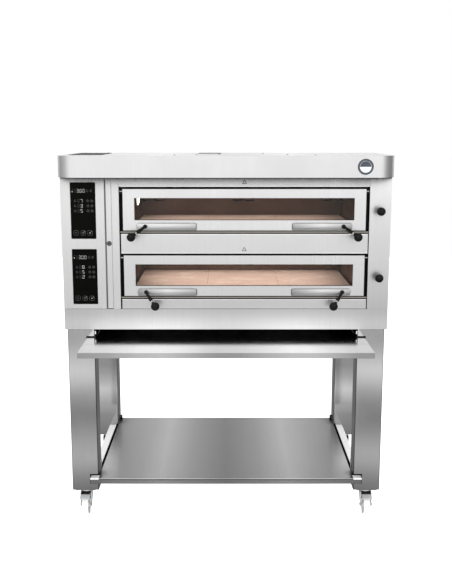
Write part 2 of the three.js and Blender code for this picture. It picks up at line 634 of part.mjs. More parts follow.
// A tongue on a hinge bar between the fork's cheeks, widening to the plate that a foot presses
function brakePedal() {
  const { from, bend, tip } = PEDAL;
  const side = (rear) => {
    const outline = new THREE.Shape();
    outline.moveTo(rear, PEDAL_Z.rear);
    outline.lineTo(rear, PEDAL_Z.rear + PEDAL_THICKNESS);
    outline.lineTo(bend, PEDAL_Z.bend + PEDAL_THICKNESS);
    outline.lineTo(tip, PEDAL_Z.tip + PEDAL_THICKNESS);
    outline.lineTo(tip, PEDAL_Z.tip);
    outline.lineTo(bend, PEDAL_Z.bend);
    outline.closePath();
    return outline;
  };
  const hingeEnd = (x) => [x, -CASTOR.trail, PEDAL.hinge];
  return join(
    rod(3, hingeEnd(-PEDAL.hingeEnd), hingeEnd(PEDAL.hingeEnd), 12),
    sidePlate(side(from), [-PEDAL.tongue, PEDAL.tongue]),
    sidePlate(side(bend + 5), [-PEDAL.plate, PEDAL.plate]),
  );
}

function addCastors() {
  const rows = [['front', CASTOR.frontY], ['rear', CASTOR.rearY]];
  for (const [row, y] of rows) {
    for (const [place, side] of [['left', -1], ['right', 1]]) {
      const castor = new THREE.Group();
      castor.position.set(side * CASTOR.x, y, 0);
      oven.add(castor);
      addPart(`castor_fork_${row}_${place}`, castorFork(), ZINC_STEEL, castor);
      addPart(`castor_wheel_${row}_${place}`, solidOf(castorWheel()), WHITE_WHEEL, castor);
      if (row === 'front') {
        addPart(`brake_pedal_${place}`, brakePedal(), ZINC_STEEL, castor);
      }
    }
  }
}

// ---------------------------------------------------------------- assembly

addCanopy();
addTopCover();
addSidePanels();
addRearPanel();
addFrontPieces();
addPlinth();
for (const [deck, hearth] of Object.entries(DECKS)) {
  addPart(`${deck}_chamber_liner`, chamberLiner(hearth), DARK_STEEL);
  addStones(deck, hearth);
  addElements(deck, hearth);
  addLamp(deck, hearth);
}
addDoor('upper', DECKS.upper, true, OUTWARD_DIP);
addDoor('lower', DECKS.lower, false, INWARD_DIP);
addServiceDrawer();
addLock();
addDampers();
addLegs();
addShelves();
addCastors();

export default oven;
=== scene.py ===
# The looks of a two-deck pizza oven on a wheeled stand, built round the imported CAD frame.
# Units are metres: +X is right, +Y is back, +Z is up. Sizes below are written in millimetres times MM.
import json
import math
import random

import bmesh
import bpy
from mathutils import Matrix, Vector


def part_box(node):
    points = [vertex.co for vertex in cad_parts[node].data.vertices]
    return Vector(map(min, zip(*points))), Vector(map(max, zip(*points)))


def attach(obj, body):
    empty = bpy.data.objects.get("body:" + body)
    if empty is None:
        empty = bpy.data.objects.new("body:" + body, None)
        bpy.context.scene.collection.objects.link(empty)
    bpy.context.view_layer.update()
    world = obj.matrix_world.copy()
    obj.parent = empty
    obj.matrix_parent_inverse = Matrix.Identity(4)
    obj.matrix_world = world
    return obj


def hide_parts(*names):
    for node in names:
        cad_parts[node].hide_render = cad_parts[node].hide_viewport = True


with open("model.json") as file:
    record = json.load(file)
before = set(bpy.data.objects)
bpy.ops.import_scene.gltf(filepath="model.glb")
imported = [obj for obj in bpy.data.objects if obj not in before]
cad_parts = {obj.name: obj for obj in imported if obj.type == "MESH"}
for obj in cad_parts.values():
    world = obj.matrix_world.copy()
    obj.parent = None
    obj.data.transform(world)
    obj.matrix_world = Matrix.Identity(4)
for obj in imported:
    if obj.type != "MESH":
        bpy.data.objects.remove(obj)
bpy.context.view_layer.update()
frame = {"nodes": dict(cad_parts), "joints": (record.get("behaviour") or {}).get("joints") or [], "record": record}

MM = 0.001
JOINTS = {joint["name"]: joint for joint in frame["joints"]}
DECKS = ("upper", "lower")
SIDES = (("left", -1), ("right", 1))
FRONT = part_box("drawer_front")[0].y  # the body's front plane

random.seed(7)


def joint_place(name):
    """Where a joint of the record sits, in metres."""
    return Vector(JOINTS[name]["pos_m"])


def srgb(red, green, blue):
    """A linear colour with alpha from the screen values 0 to 255."""
    def linear(value):
        share = value / 255
        return share / 12.92 if share <= 0.04045 else ((share + 0.055) / 1.055) ** 2.4
    return (linear(red), linear(green), linear(blue), 1.0)


def grey(value):
    """A neutral colour from one screen value."""
    return srgb(value, value, value)


# ---------------------------------------------------------------- node trees

# How much of the tone is left under painted shade, by how much of the sky a point sees
CREVICE_FALL = [(0.5, 0.0), (0.575, 0.06), (0.62, 0.33), (0.67, 0.62), (0.79, 0.95), (0.88, 1.0)]


def tones(stops):
    """Stops of a ramp whose colours are plain tones."""
    return [(place, (tone, tone, tone, 1)) for place, tone in stops]


class Graph:
    """Adds shader nodes to a tree, with each input given as a value or as another node's output."""

    def __init__(self, tree):
        self.tree = tree
        self.shader = tree.nodes.get("Principled BSDF")

    def add(self, kind, inputs=None, **settings):
        node = self.tree.nodes.new("ShaderNode" + kind)
        for key, value in settings.items():
            setattr(node, key, value)
        for key, value in (inputs or {}).items():
            self.feed(node.inputs[key], value)
        return node

    def feed(self, socket, value):
        if isinstance(value, bpy.types.NodeSocket):
            self.tree.links.new(value, socket)
        else:
            socket.default_value = value

    def paint(self, **inputs):
        """Feeds inputs of the shader; underscores in their names stand for spaces."""
        for key, value in inputs.items():
            self.feed(self.shader.inputs[key.replace("_", " ")], value)

    def math(self, operation, first, second=0.0):
        return self.add("Math", {0: first, 1: second}, operation=operation).outputs[0]

    def span(self, value, low, high, to_low=0.0, to_high=1.0):
        inputs = {"Value": value, "From Min": low, "From Max": high, "To Min": to_low, "To Max": to_high}
        return self.add("MapRange", inputs, interpolation_type="SMOOTHSTEP").outputs[0]

    def blend(self, share, first, second):
        node = self.add("Mix", data_type="RGBA")
        self.feed(node.inputs["Factor"], share)
        self.feed(node.inputs[6], first)
        self.feed(node.inputs[7], second)
        return node.outputs[2]

    def ramp(self, value, stops):
        node = self.add("ValToRGB", {"Fac": value})
        elements = node.color_ramp.elements
        while len(elements) < len(stops):
            elements.new(0.5)
        for element, (position, colour) in zip(elements, stops):
            element.position = position
            element.color = colour
        return node.outputs["Color"]

    def place(self):
        return self.add("TexCoord").outputs["Object"]

    def along(self, axis):
        """The place along X, Y or Z in object space, in metres."""
        return self.add("SeparateXYZ", {0: self.place()}).outputs[axis]

    def facing(self, axis):
        """The share of the surface's own normal along X, Y or Z, from -1 to 1."""
        return self.add("SeparateXYZ", {0: self.add("TexCoord").outputs["Normal"]}).outputs[axis]

    def noise(self, scale, detail=3.0, roughness=0.55):
        """Noise in object space; scale is how many waves a metre along X, Y and Z."""
        stretched = self.add("Mapping", {"Vector": self.place(), "Scale": scale}).outputs[0]
        inputs = {"Vector": stretched, "Scale": 1.0, "Detail": detail, "Roughness": roughness}
        return self.add("TexNoise", inputs).outputs["Fac"]

    def banded(self, axis, stops):
        """A tone that changes along X, Y or Z; stops list (place in metres, tone) in rising order."""
        low, high = stops[0][0], stops[-1][0]
        share = self.math("DIVIDE", self.math("SUBTRACT", self.along(axis), low), high - low)
        return self.ramp(share, tones([((place - low) / (high - low), tone) for place, tone in stops]))

    def crevice_shade(self, reach, depth):
        """Painted shade: 1 on open surfaces, falling towards depth in corners and under overhangs within reach."""
        node = self.add("AmbientOcclusion", {"Distance": reach}, samples=12)
        return self.ramp(node.outputs["AO"], tones([(place, depth + (1 - depth) * share)
                                                    for place, share in CREVICE_FALL]))

    def tint(self, *colours):
        """Colours times each other, each a value or a node's output."""
        plain = [colour[:3] if isinstance(colour, tuple) else colour for colour in colours]
        product = plain[0]
        for colour in plain[1:]:
            product = self.add("VectorMath", {0: product, 1: colour}, operation="MULTIPLY").outputs["Vector"]
        return product

    def bump(self, height, strength, distance):
        inputs = {"Height": height, "Strength": strength, "Distance": distance}
        return self.add("Bump", inputs).outputs["Normal"]


def new_material(name, **values):
    """A material and its graph; values are the shader's plain inputs."""
    material = bpy.data.materials.new(name)
    material.use_nodes = True
    graph = Graph(material.node_tree)
    graph.paint(**values)
    return material, graph


def shade(colour, factor):
    """A colour made darker or lighter by a factor."""
    return (colour[0] * factor, colour[1] * factor, colour[2] * factor, 1.0)


# ---------------------------------------------------------------- materials

# Waves of grain a metre, along X, Y and Z
VERTICAL_GRAIN = (520, 520, 7)
SIDEWAYS_GRAIN = (7, 520, 520)
SHELF_GRAIN = (5, 420, 420)
GRAIN_DEPTH = 0.4 * MM
CLOUDS = (3.1, 3.1, 3.1)
CLOUD = 0.03  # how much the clouds of handling darken steel


def steel(name, colour, roughness=0.34, grain=VERTICAL_GRAIN, streak=0.03, spread=0.05, bump=0.05,
          painted_shade=None, bands=None):
    """Sheet steel: fine streaks along the grain, faint clouds of handling, and a grain bump.
    A painted shade can darken corners and places under overhangs, given as its reach and its darkest
    tone; bands is an axis and the stops of a tone along it, a painted reflection."""
    material, graph = new_material(name, Metallic=1.0)
    fine = graph.noise(grain, 4.0)
    broad = graph.noise(tuple(axis * 0.12 for axis in grain), 2.0)
    clouds = graph.noise(CLOUDS)
    both = graph.math("ADD", graph.math("MULTIPLY", fine, 0.6), graph.math("MULTIPLY", broad, 0.4))
    streaked = graph.blend(graph.span(both, 0.35, 0.65), shade(colour, 1 - streak), shade(colour, 1 + streak))
    clouded = graph.blend(graph.span(clouds, 0.35, 0.7), streaked, shade(colour, 1 - CLOUD))
    if painted_shade:
        clouded = graph.tint(clouded, graph.crevice_shade(*painted_shade))
    if bands:
        clouded = graph.tint(clouded, graph.banded(*bands))
    rough = graph.span(graph.math("ADD", fine, graph.math("MULTIPLY", clouds, 0.5)), 0.5, 1.0,
                       roughness - spread, roughness + spread)
    graph.paint(Base_Color=clouded, Roughness=rough, Normal=graph.bump(both, bump, GRAIN_DEPTH))
    return material


def leg_steel(name, roughness, lean=0.0, bands=None):
    """Mirror-like stand steel, near-black on the faces that look inwards as painted shade, and dull on the backs.
    lean tips the mirror back a little, as a wall that isn't quite upright."""
    material, graph = new_material(name)
    fine = graph.noise(VERTICAL_GRAIN, 4.0)
    clouds = graph.noise(CLOUDS)
    outside = graph.math("SIGN", graph.along("X"))
    towards_middle = graph.math("MULTIPLY", graph.facing("X"), graph.math("MULTIPLY", outside, -1.0))
    inward = graph.span(towards_middle, 0.35, 0.85)
    backward = graph.span(graph.facing("Y"), 0.4, 0.8)
    tone = graph.blend(graph.span(graph.math("ADD", fine, clouds), 0.7, 1.3), grey(226), grey(231))
    # Painted shade: faces that look in towards the middle are near-black
    tone = graph.blend(inward, tone, grey(30))
    # A tone along an axis, a painted reflection
    if bands:
        tone = graph.tint(tone, graph.banded(*bands))
    graph.paint(Base_Color=graph.blend(backward, tone, grey(176)))
    graph.paint(Metallic=graph.math("SUBTRACT", 1.0, graph.math("MULTIPLY", backward, 0.85)))
    sheen = graph.span(clouds, 0.3, 0.7, roughness - 0.02, roughness + 0.02)
    graph.paint(Roughness=graph.math("ADD", sheen, graph.math("MULTIPLY", backward, 0.5)))
    tipped = graph.add("VectorMath", {0: graph.bump(fine, 0.004, GRAIN_DEPTH), 1: (0.0, 0.0, lean)},
                       operation="ADD")
    upright = graph.add("VectorMath", {0: tipped.outputs["Vector"]}, operation="NORMALIZE")
    graph.paint(Normal=upright.outputs["Vector"])
    return material


def rail_steel():
    """The low side rails: pale and glowing where they face the shelf, which is painted light, and plain satin
    steel on their outer faces.
    """
    material, graph = new_material("rail_steel")
    grain = graph.noise((7, 420, 420), 3.0)
    outside = graph.math("SIGN", graph.along("X"))
    outward = graph.span(graph.math("MULTIPLY", graph.facing("X"), outside), 0.35, 0.85)
    # Painted light: the faces towards the shelf are pale and also glow
    pale = graph.blend(graph.span(grain, 0.35, 0.65), grey(243), grey(250))
    graph.paint(Base_Color=graph.blend(outward, pale, grey(190)))
    graph.paint(Metallic=graph.math("ADD", 0.1, graph.math("MULTIPLY", outward, 0.8)))
    graph.paint(Roughness=graph.span(grain, 0.3, 0.7, 0.34, 0.44))
    graph.paint(Normal=graph.bump(grain, 0.03, 0.0003))
    graph.paint(Emission_Color=graph.blend(outward, pale, grey(0)), Emission_Strength=0.3)
    return material


def canopy_steel():
    """The casing's satin steel, whiter and not metallic on the faces that look up, as painted light from above."""
    material = steel("canopy_steel", grey(240))
    graph = Graph(material.node_tree)
    # Painted light from above on the faces that look up
    upward = graph.span(graph.facing("Z"), 0.5, 0.9)
    plain = graph.shader.inputs["Base Color"].links[0].from_socket
    graph.paint(Base_Color=graph.blend(upward, plain, grey(250)))
    graph.paint(Metallic=graph.math("SUBTRACT", 1.0, upward))
    return material


def chamber_steel():
    """Light steel along the front edge, a dark grey flange that is painted shade and darker still in its corners,
    and heat-browned steel with darker patches inside the mouth, whose tone along the depth goes from orange at the
    mouth to darker further in and lighter at the back.
    """
    material, graph = new_material("chamber_steel")
    depth = graph.math("SUBTRACT", graph.along("Y"), FRONT)
    inside = graph.span(depth, 37.5 * MM, 38.5 * MM)
    tint = graph.ramp(graph.span(depth, 38 * MM, 830 * MM), [
        (0.0, srgb(168, 106, 66)),
        (0.12, srgb(118, 76, 52)),
        (0.5, srgb(86, 68, 58)),
        (1.0, srgb(114, 90, 78)),
    ])
    patches = graph.noise((4, 4, 6), 3.0)
    browned = graph.blend(graph.span(patches, 0.3, 0.8, 0.0, 0.45), tint, srgb(74, 50, 40))
    # Painted shade: the flange is dark grey, and darker in its corners
    flange = graph.tint(grey(60), graph.crevice_shade(30 * MM, 0.1))
    outside = graph.blend(graph.span(depth, 7 * MM, 12 * MM), srgb(160, 155, 146), flange)
    graph.paint(Base_Color=graph.blend(inside, outside, browned))
    graph.paint(Metallic=graph.math("SUBTRACT", 0.7, graph.math("MULTIPLY", inside, 0.35)))
    graph.paint(Roughness=graph.span(patches, 0.2, 0.8, 0.36, 0.62))
    graph.paint(Normal=graph.bump(graph.noise((300, 300, 300), 3.0), 0.12, 0.0005))
    return material


def hearth_stone():
    """Pale pinkish firebrick with fine grain, small brown speckles and soft floury patches."""
    material, graph = new_material("hearth_stone")
    grain = graph.noise((420, 420, 420), 4.0)
    patches = graph.noise((7, 9, 7), 4.0)
    specks = graph.noise((150, 150, 150), 2.0, 0.4)
    scorch = graph.noise((26, 26, 26), 5.0, 0.6)
    body = graph.blend(graph.span(grain, 0.3, 0.7), srgb(214, 190, 179), srgb(232, 212, 202))
    floury = graph.blend(graph.span(patches, 0.45, 0.75), body, srgb(240, 226, 216))
    scorched = graph.blend(graph.span(scorch, 0.62, 0.74, 0.0, 0.35), floury, srgb(176, 134, 112))
    speckled = graph.blend(graph.span(specks, 0.66, 0.72, 0.0, 0.75), scorched, srgb(120, 80, 62))
    graph.paint(Base_Color=speckled)
    graph.paint(Roughness=graph.span(patches, 0.3, 0.8, 0.82, 0.96))
    height = graph.math("SUBTRACT", grain, graph.math("MULTIPLY", graph.span(specks, 0.64, 0.72), 0.6))
    graph.paint(Normal=graph.bump(height, 0.4, 0.0006))
    return material


def grained(name, light, dark, scale, rough, bump, **values):
    """A surface between two close colours, with a matching change of roughness and a grain bump."""
    material, graph = new_material(name, **values)
    grain = graph.noise((scale,) * 3, 3.0)
    cloud = graph.noise((scale * 0.03,) * 3, 3.0)
    mixed = graph.math("ADD", graph.math("MULTIPLY", grain, 0.5), graph.math("MULTIPLY", cloud, 0.5))
    graph.paint(Base_Color=graph.blend(graph.span(mixed, 0.35, 0.65), dark, light))
    graph.paint(Roughness=graph.span(mixed, 0.3, 0.7, *rough))
    graph.paint(Normal=graph.bump(grain, bump, 0.0003))
    return material


def wheel_nylon(name):
    """White nylon, grey on the web and sides, which is painted shade."""
    material, graph = new_material(name)
    grain = graph.noise((500, 500, 500), 3.0)
    # Painted shade: faces that look sideways are grey
    side = graph.span(graph.math("ABSOLUTE", graph.facing("X")), 0.3, 0.8)
    tread = graph.blend(graph.span(grain, 0.35, 0.65), srgb(234, 234, 231), srgb(247, 247, 245))
    graph.paint(Base_Color=graph.blend(side, tread, srgb(176, 177, 178)))
    graph.paint(Roughness=graph.span(grain, 0.3, 0.7, 0.4, 0.55))
    graph.paint(Normal=graph.bump(grain, 0.1, 0.0003))
    return material


def glowing(name, colour, strength, edge):
    """A lit surface whose light falls off in fine mottling towards the edge colour."""
    material, graph = new_material(name, Roughness=0.3)
    mottle = graph.noise((90, 90, 90), 2.0)
    lit = graph.blend(graph.span(mottle, 0.3, 0.7), colour, edge)
    graph.paint(Base_Color=lit, Emission_Color=lit, Emission_Strength=strength)
    return material


def door_glass():
    """Clear glass, nearly all of it let through, with faint wiping marks in its gloss."""
    material, graph = new_material("door_glass", Alpha=0.09, IOR=1.5)
    wipes = graph.noise((5, 5, 30), 4.0)
    graph.paint(Base_Color=graph.blend(wipes, srgb(46, 50, 50), srgb(86, 88, 86)))
    graph.paint(Roughness=graph.span(wipes, 0.3, 0.8, 0.03, 0.12))
    material.surface_render_method = "BLENDED"
    return material


# Tones along the parts, as (place in metres, tone). They stand in for blurred reflections.
WORK_SHELF_TONES = [(-0.675, 0.74), (-0.54, 0.88), (-0.4, 1.15), (-0.3, 1.16), (-0.04, 0.71), (0.06, 0.73),
                    (0.3, 1.2), (0.38, 1.18), (0.6, 0.72), (0.675, 0.72)]
LOWER_SHELF_TONES = [(-0.641, 0.72), (-0.57, 0.92), (-0.43, 1.06), (-0.33, 1.3), (-0.18, 1.0), (0.0, 0.78),
                     (0.18, 1.0), (0.32, 1.3), (0.45, 1.04), (0.57, 0.88), (0.641, 0.72)]
PLINTH_TONES = [(0.963, 1.04), (1.0, 1.0), (1.04, 0.86), (1.064, 0.82)]
COLUMN_TONES = [(1.064, 0.84), (1.3, 0.98), (1.5, 1.04), (1.69, 1.15)]
REAR_LEG_TONES = [(0.13, 0.5), (0.26, 0.48), (0.33, 0.7), (0.42, 1.3), (0.47, 1.1), (0.56, 0.74), (0.65, 0.7),
                  (0.96, 0.7)]
# Painted shade in corners and under overhangs: how far it reaches, and its darkest tone
CORNER_SHADE = (200 * MM, 0.02)
POLISH = {"streak": 0.01, "spread": 0.02, "bump": 0.002}
SHELF_POLISH = {"streak": 0.015, "spread": 0.02, "bump": 0.01}

# The looks of the record's material slots
MATERIALS = {
    "satin_steel": steel("satin_steel", grey(240), painted_shade=CORNER_SHADE),
    "polished_steel": steel("polished_steel", grey(246), 0.13, SIDEWAYS_GRAIN, **POLISH),
    "stand_steel": leg_steel("stand_steel", 0.08),
    "shelf_steel": steel("shelf_steel", grey(228), 0.15, SHELF_GRAIN, bands=("X", WORK_SHELF_TONES),
                         **SHELF_POLISH),
    "chamber_steel": chamber_steel(),
    "element_steel": grained("element_steel", srgb(78, 68, 62), srgb(44, 38, 36), 260, (0.45, 0.65), 0.2,
                             Metallic=0.6),
    "hearth_stone": hearth_stone(),
    "lamp_glass": glowing("lamp_glass", srgb(255, 250, 238), 5.0, srgb(255, 238, 214)),
    "door_glass": door_glass(),
    "control_glass": grained("control_glass", srgb(8, 8, 7), srgb(5, 5, 4), 40, (0.1, 0.16), 0.01,
                             Specular_IOR_Level=0.04),
    "black_plastic": grained("black_plastic", grey(24), grey(12), 700, (0.34, 0.48), 0.1,
                             Specular_IOR_Level=0.22),
    "zinc_steel": grained("zinc_steel", grey(226), grey(204), 500, (0.34, 0.46), 0.1, Metallic=0.35),
    "pedal_plastic": grained("pedal_plastic", srgb(206, 208, 210), srgb(188, 190, 192), 600, (0.4, 0.55),
                             0.1),
    "white_wheel": wheel_nylon("white_wheel"),
}

# Finishes of single nodes and of added pieces
CANOPY_STEEL = canopy_steel()
PLINTH_STEEL = steel("plinth_steel", grey(240), bands=("Z", PLINTH_TONES))
REAR_LEG_STEEL = leg_steel("rear_leg_steel", 0.1, 0.023, ("Z", REAR_LEG_TONES))
COLUMN_STEEL = steel("column_steel", grey(240), painted_shade=CORNER_SHADE, bands=("Z", COLUMN_TONES))
LOWER_PANEL_STEEL = steel("lower_panel_steel", grey(230))
# Painted shade under the plinth and near the parts round the lower shelf
LOWER_SHELF_STEEL = steel("lower_shelf_steel", grey(214), 0.24, SHELF_GRAIN, painted_shade=(150 * MM, 0.3),
                          bands=("X", LOWER_SHELF_TONES), **SHELF_POLISH)
# Painted shade near the plates and other parts on the door
DOOR_STEEL = steel("door_steel", grey(243), 0.32, painted_shade=(35 * MM, 0.2))
RAIL_STEEL = rail_steel()
# Near-white strips that stand in for edges catching light, a painted highlight
EDGE_HIGHLIGHT = grained("painted_edge_highlight", grey(250), grey(243), 400, (0.4, 0.5), 0.03, Metallic=0.1)
# Steel that glows as painted light, on the leg tabs and the castor heads
PAINTED_LIGHT_STEEL = glowing("painted_light_steel", grey(206), 0.55, grey(196))
# Near-black that stands in for shade in gaps, notches and under things: painted shade
SHADE_BLACK = grained("painted_shade_black", grey(7), grey(3), 300, (0.7, 0.9), 0.1, Specular_IOR_Level=0.02)
SEAL = grained("door_seal", srgb(48, 46, 44), srgb(26, 25, 24), 900, (0.8, 0.95), 0.5)
# Black for dark parts and print, and also painted shade: the plate inside each fork and the line under the
# canopy's lip
BLACK_AND_SHADE = grained("black_and_painted_shade", srgb(30, 29, 28), srgb(18, 18, 17), 500, (0.6, 0.8), 0.2)
DIGIT_LIT = glowing("digit_lit", srgb(186, 186, 182), 0.2, srgb(156, 156, 153))
DIGIT_DIM = grained("digit_dim", srgb(40, 40, 39), srgb(32, 32, 31), 300, (0.3, 0.4), 0.02)
ICON_GREY = grained("icon_grey", srgb(84, 84, 81), srgb(68, 68, 66), 300, (0.3, 0.4), 0.02)
MARK_RED = grained("mark_red", srgb(92, 20, 14), srgb(70, 14, 10), 300, (0.3, 0.4), 0.02)
# Dark grey for the lock, and painted shadow in the pads under the door plates
DARK_AND_SHADE_GREY = grained("dark_and_shade_grey", grey(92), grey(72), 400, (0.4, 0.5), 0.02)
# Grey painted shade: the line in the post's joint, and the strips under the door plates
SHADE_LINE_GREY = grained("painted_shade_line_grey", grey(160), grey(144), 400, (0.5, 0.6), 0.02)
# Dark grey for the roof grille and screws, and painted shade beside the drawer and under the lower shelf's roll
STRIP_GREY = grained("strip_grey", grey(98), grey(84), 400, (0.5, 0.6), 0.02)
LABEL_DARK = grained("label_dark", srgb(74, 80, 88), srgb(58, 64, 72), 300, (0.35, 0.5), 0.02)
LABEL_PALE = grained("label_pale", srgb(226, 230, 232), srgb(206, 210, 212), 300, (0.35, 0.5), 0.02)


# ---------------------------------------------------------------- mesh code

SMOOTH_ANGLE = math.radians(34)  # the least angle that shows as a sharp edge


def add_object(name, mesh_maker, material):
    """Makes an object from a bmesh that mesh_maker fills."""
    shape = bmesh.new()
    mesh_maker(shape)
    bmesh.ops.recalc_face_normals(shape, faces=shape.faces)
    mesh = bpy.data.meshes.new(name)
    shape.to_mesh(mesh)
    shape.free()
    mesh.materials.append(material)
    mesh.shade_smooth()
    mesh.set_sharp_from_angle(angle=SMOOTH_ANGLE)
    made = bpy.data.objects.new(name, mesh)
    bpy.context.scene.collection.objects.link(made)
    return made


def add_piece(name, mesh_maker, material, body="oven_body", slot=None, replaces=()):
    """Adds a piece that rides on a body. material is a material or the name of one of the slots."""
    if isinstance(material, str):
        slot = material
        material = MATERIALS[slot]
    piece = add_object(name, mesh_maker, material)
    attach(piece, body)
    if replaces:
        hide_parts(*replaces)


def add_boxes(name, material, *boxes, body="oven_body"):
    """Adds a piece of rounded boxes, each given as (corner, opposite corner, bevel)."""
    def fill(shape):
        for corner, opposite, *rounding in boxes:
            rounded_box(shape, corner, opposite, *rounding)

    add_piece(name, fill, material, body)


def add_turned(name, material, start, end, profile, sides, body="oven_body", replaces=()):
    """Adds a piece of one turned form."""
    def fill(shape):
        turned(shape, start, end, profile, sides)

    add_piece(name, fill, material, body, replaces=replaces)


def extrude_outline(shape, corners, offset, bevel=0.0):
    """A solid between an outline of points and the same outline moved by offset, edges rounded."""
    start = [shape.verts.new(Vector(corner)) for corner in corners]
    end = [shape.verts.new(Vector(corner) + Vector(offset)) for corner in corners]
    faces = [shape.faces.new(start), shape.faces.new(end[::-1])]
    for index, corner in enumerate(start):
        after = (index + 1) % len(start)
        shape.faces.new((start[after], corner, end[index], end[after]))
    if bevel:
        rims = list(faces[0].edges) + list(faces[1].edges)
        bmesh.ops.bevel(shape, geom=rims, offset=bevel, segments=2, profile=0.5,
                        affect="EDGES", clamp_overlap=True)


def in_mm(*pairs):
    """Pairs of millimetres as pairs of metres."""
    return [(first * MM, second * MM) for first, second in pairs]


def rod_profile(start, end, radius):
    """The profile of a plain closed cylinder."""
    return [(start, 0), (start, radius), (end, radius), (end, 0)]


def rounded_box(shape, corner, opposite, bevel, segments=2):
    """A box between two opposite corners, with every edge rounded."""
    low = Vector([min(pair) for pair in zip(corner, opposite)])
    high = Vector([max(pair) for pair in zip(corner, opposite)])
    made = bmesh.ops.create_cube(shape, size=1.0)
    bmesh.ops.scale(shape, vec=high - low, verts=made["verts"])
    bmesh.ops.translate(shape, vec=(high + low) / 2, verts=made["verts"])
    edges = {edge for vertex in made["verts"] for edge in vertex.link_edges}
    bmesh.ops.bevel(shape, geom=list(edges), offset=bevel, segments=segments, profile=0.5,
                    affect="EDGES", clamp_overlap=True)


def turned(shape, start, end, profile, sides=32):
    """A turned form on the line from start to end; profile lists (distance from start, radius)."""
    start, end = Vector(start), Vector(end)
    turn = (end - start).to_track_quat("Z", "Y")
    rings = []
    for along, radius in profile:
        if radius <= 0:
            rings.append([shape.verts.new(start + turn @ Vector((0, 0, along)))])
            continue
        ring = []
        for step in range(sides):
            angle = 2 * math.pi * step / sides
            spot = Vector((radius * math.cos(angle), radius * math.sin(angle), along))
            ring.append(shape.verts.new(start + turn @ spot))
        rings.append(ring)
    for low, high in zip(rings, rings[1:]):
        for step in range(sides):
            after = (step + 1) % sides
            if len(low) == 1:
                shape.faces.new((low[0], high[step], high[after]))
            elif len(high) == 1:
                shape.faces.new((low[step], high[0], low[after]))
            else:
                shape.faces.new((low[step], high[step], high[after], low[after]))


def ball_profile(centre, radius, start_angle=0.0, steps=18):
    """The profile of a ball from an angle off its near pole round to its far pole."""
    angles = [start_angle + (math.pi - start_angle) * step / steps for step in range(steps + 1)]
    points = [(centre - radius * math.cos(angle), radius * math.sin(angle)) for angle in angles]
    points[-1] = (centre + radius, 0)
    return points


def swept_ring(shape, points, radius, sides):
    """A round bar along a closed run of points."""
    points = [Vector(point) for point in points]
    angles = [2 * math.pi * step / sides for step in range(sides)]
    rings = []
    for index, point in enumerate(points):
        turn = (points[(index + 1) % len(points)] - points[index - 1]).to_track_quat("Z", "Y")
        rings.append([
            shape.verts.new(point + turn @ Vector((radius * math.cos(angle), radius * math.sin(angle), 0)))
            for angle in angles
        ])
    for low, high in zip(rings, rings[1:] + rings[:1]):
        shift = min(range(sides), key=lambda s: (low[0].co - high[s].co).length)
        turned_to = high[shift:] + high[:shift]
        for step in range(sides):
            after = (step + 1) % sides
            shape.faces.new((low[step], low[after], turned_to[after], turned_to[step]))


def rounded_outline(x0, x1, z0, z1, radius, y, steps=6):
    """The corners of a rounded rectangle in the X-Z plane at depth y."""
    centres = [(x1 - radius, z1 - radius), (x0 + radius, z1 - radius),
               (x0 + radius, z0 + radius), (x1 - radius, z0 + radius)]
    points = []
    for quarter, (x, z) in enumerate(centres):
        for step in range(steps + 1):
            angle = math.pi / 2 * (quarter + step / steps)
            points.append((x + radius * math.cos(angle), y, z + radius * math.sin(angle)))
    return points


WELD_REACH = 0.02 * MM
FLAT_ANGLE = math.radians(0.5)  # faces nearer than this to one plane are joined
EDGE_ANGLE = math.radians(32)  # edges sharper than this are rounded


def dress(node, material, bevel):
    """Gives a CAD node its finish, and rounds its sharp edges without touching its mesh."""
    piece = frame["nodes"][node]
    piece.data.materials.clear()
    piece.data.materials.append(material)
    weld = piece.modifiers.new("weld", "WELD")
    weld.merge_threshold = WELD_REACH
    flat = piece.modifiers.new("flat", "DECIMATE")
    flat.decimate_type = "DISSOLVE"
    flat.angle_limit = FLAT_ANGLE
    if bevel:
        rounding = piece.modifiers.new("rounding", "BEVEL")
        rounding.width = bevel
        rounding.segments = 2
        rounding.limit_method = "ANGLE"
        rounding.angle_limit = EDGE_ANGLE
        rounding.harden_normals = False
    normals = piece.modifiers.new("normals", "WEIGHTED_NORMAL")
    normals.weight = 80
    normals.keep_sharp = True


# ---------------------------------------------------------------- camera and studio

CAMERA = {"place": (0, FRONT - 4125 * MM, 1900 * MM), "tilt": 79.67, "lens": 53.445}


def add_camera():
    """The camera, in front of the oven and a little above it."""
    data = bpy.data.cameras.new("camera")
    data.lens = CAMERA["lens"]
    camera = bpy.data.objects.new("camera", data)
    camera.location = CAMERA["place"]
    camera.rotation_euler = (math.radians(CAMERA["tilt"]), 0, 0)
    bpy.context.scene.collection.objects.link(camera)
    bpy.context.scene.camera = camera


# What steel mirrors, by the sine of the height angle. In front is a pale hall above a banded floor,
# and behind is a dark floor with a pale horizon.
FRONT_GLOW = [(-0.46, 0.1), (-0.388, 0.18), (-0.374, 0.34), (-0.354, 0.64), (-0.332, 0.4), (-0.314, 0.23),
              (-0.289, 0.42), (-0.2645, 0.95), (-0.233, 0.44), (-0.19, 0.54), (-0.1, 0.97), (-0.02, 1.36),
              (0.3, 1.36), (0.5, 1.36)]
REAR_GLOW = [(-0.45, 0.3), (-0.1, 0.36), (-0.04, 0.7), (0.0, 1.5), (0.08, 1.5), (0.13, 0.7), (0.3, 0.42),
             (0.45, 0.42), (0.5, 0.6)]
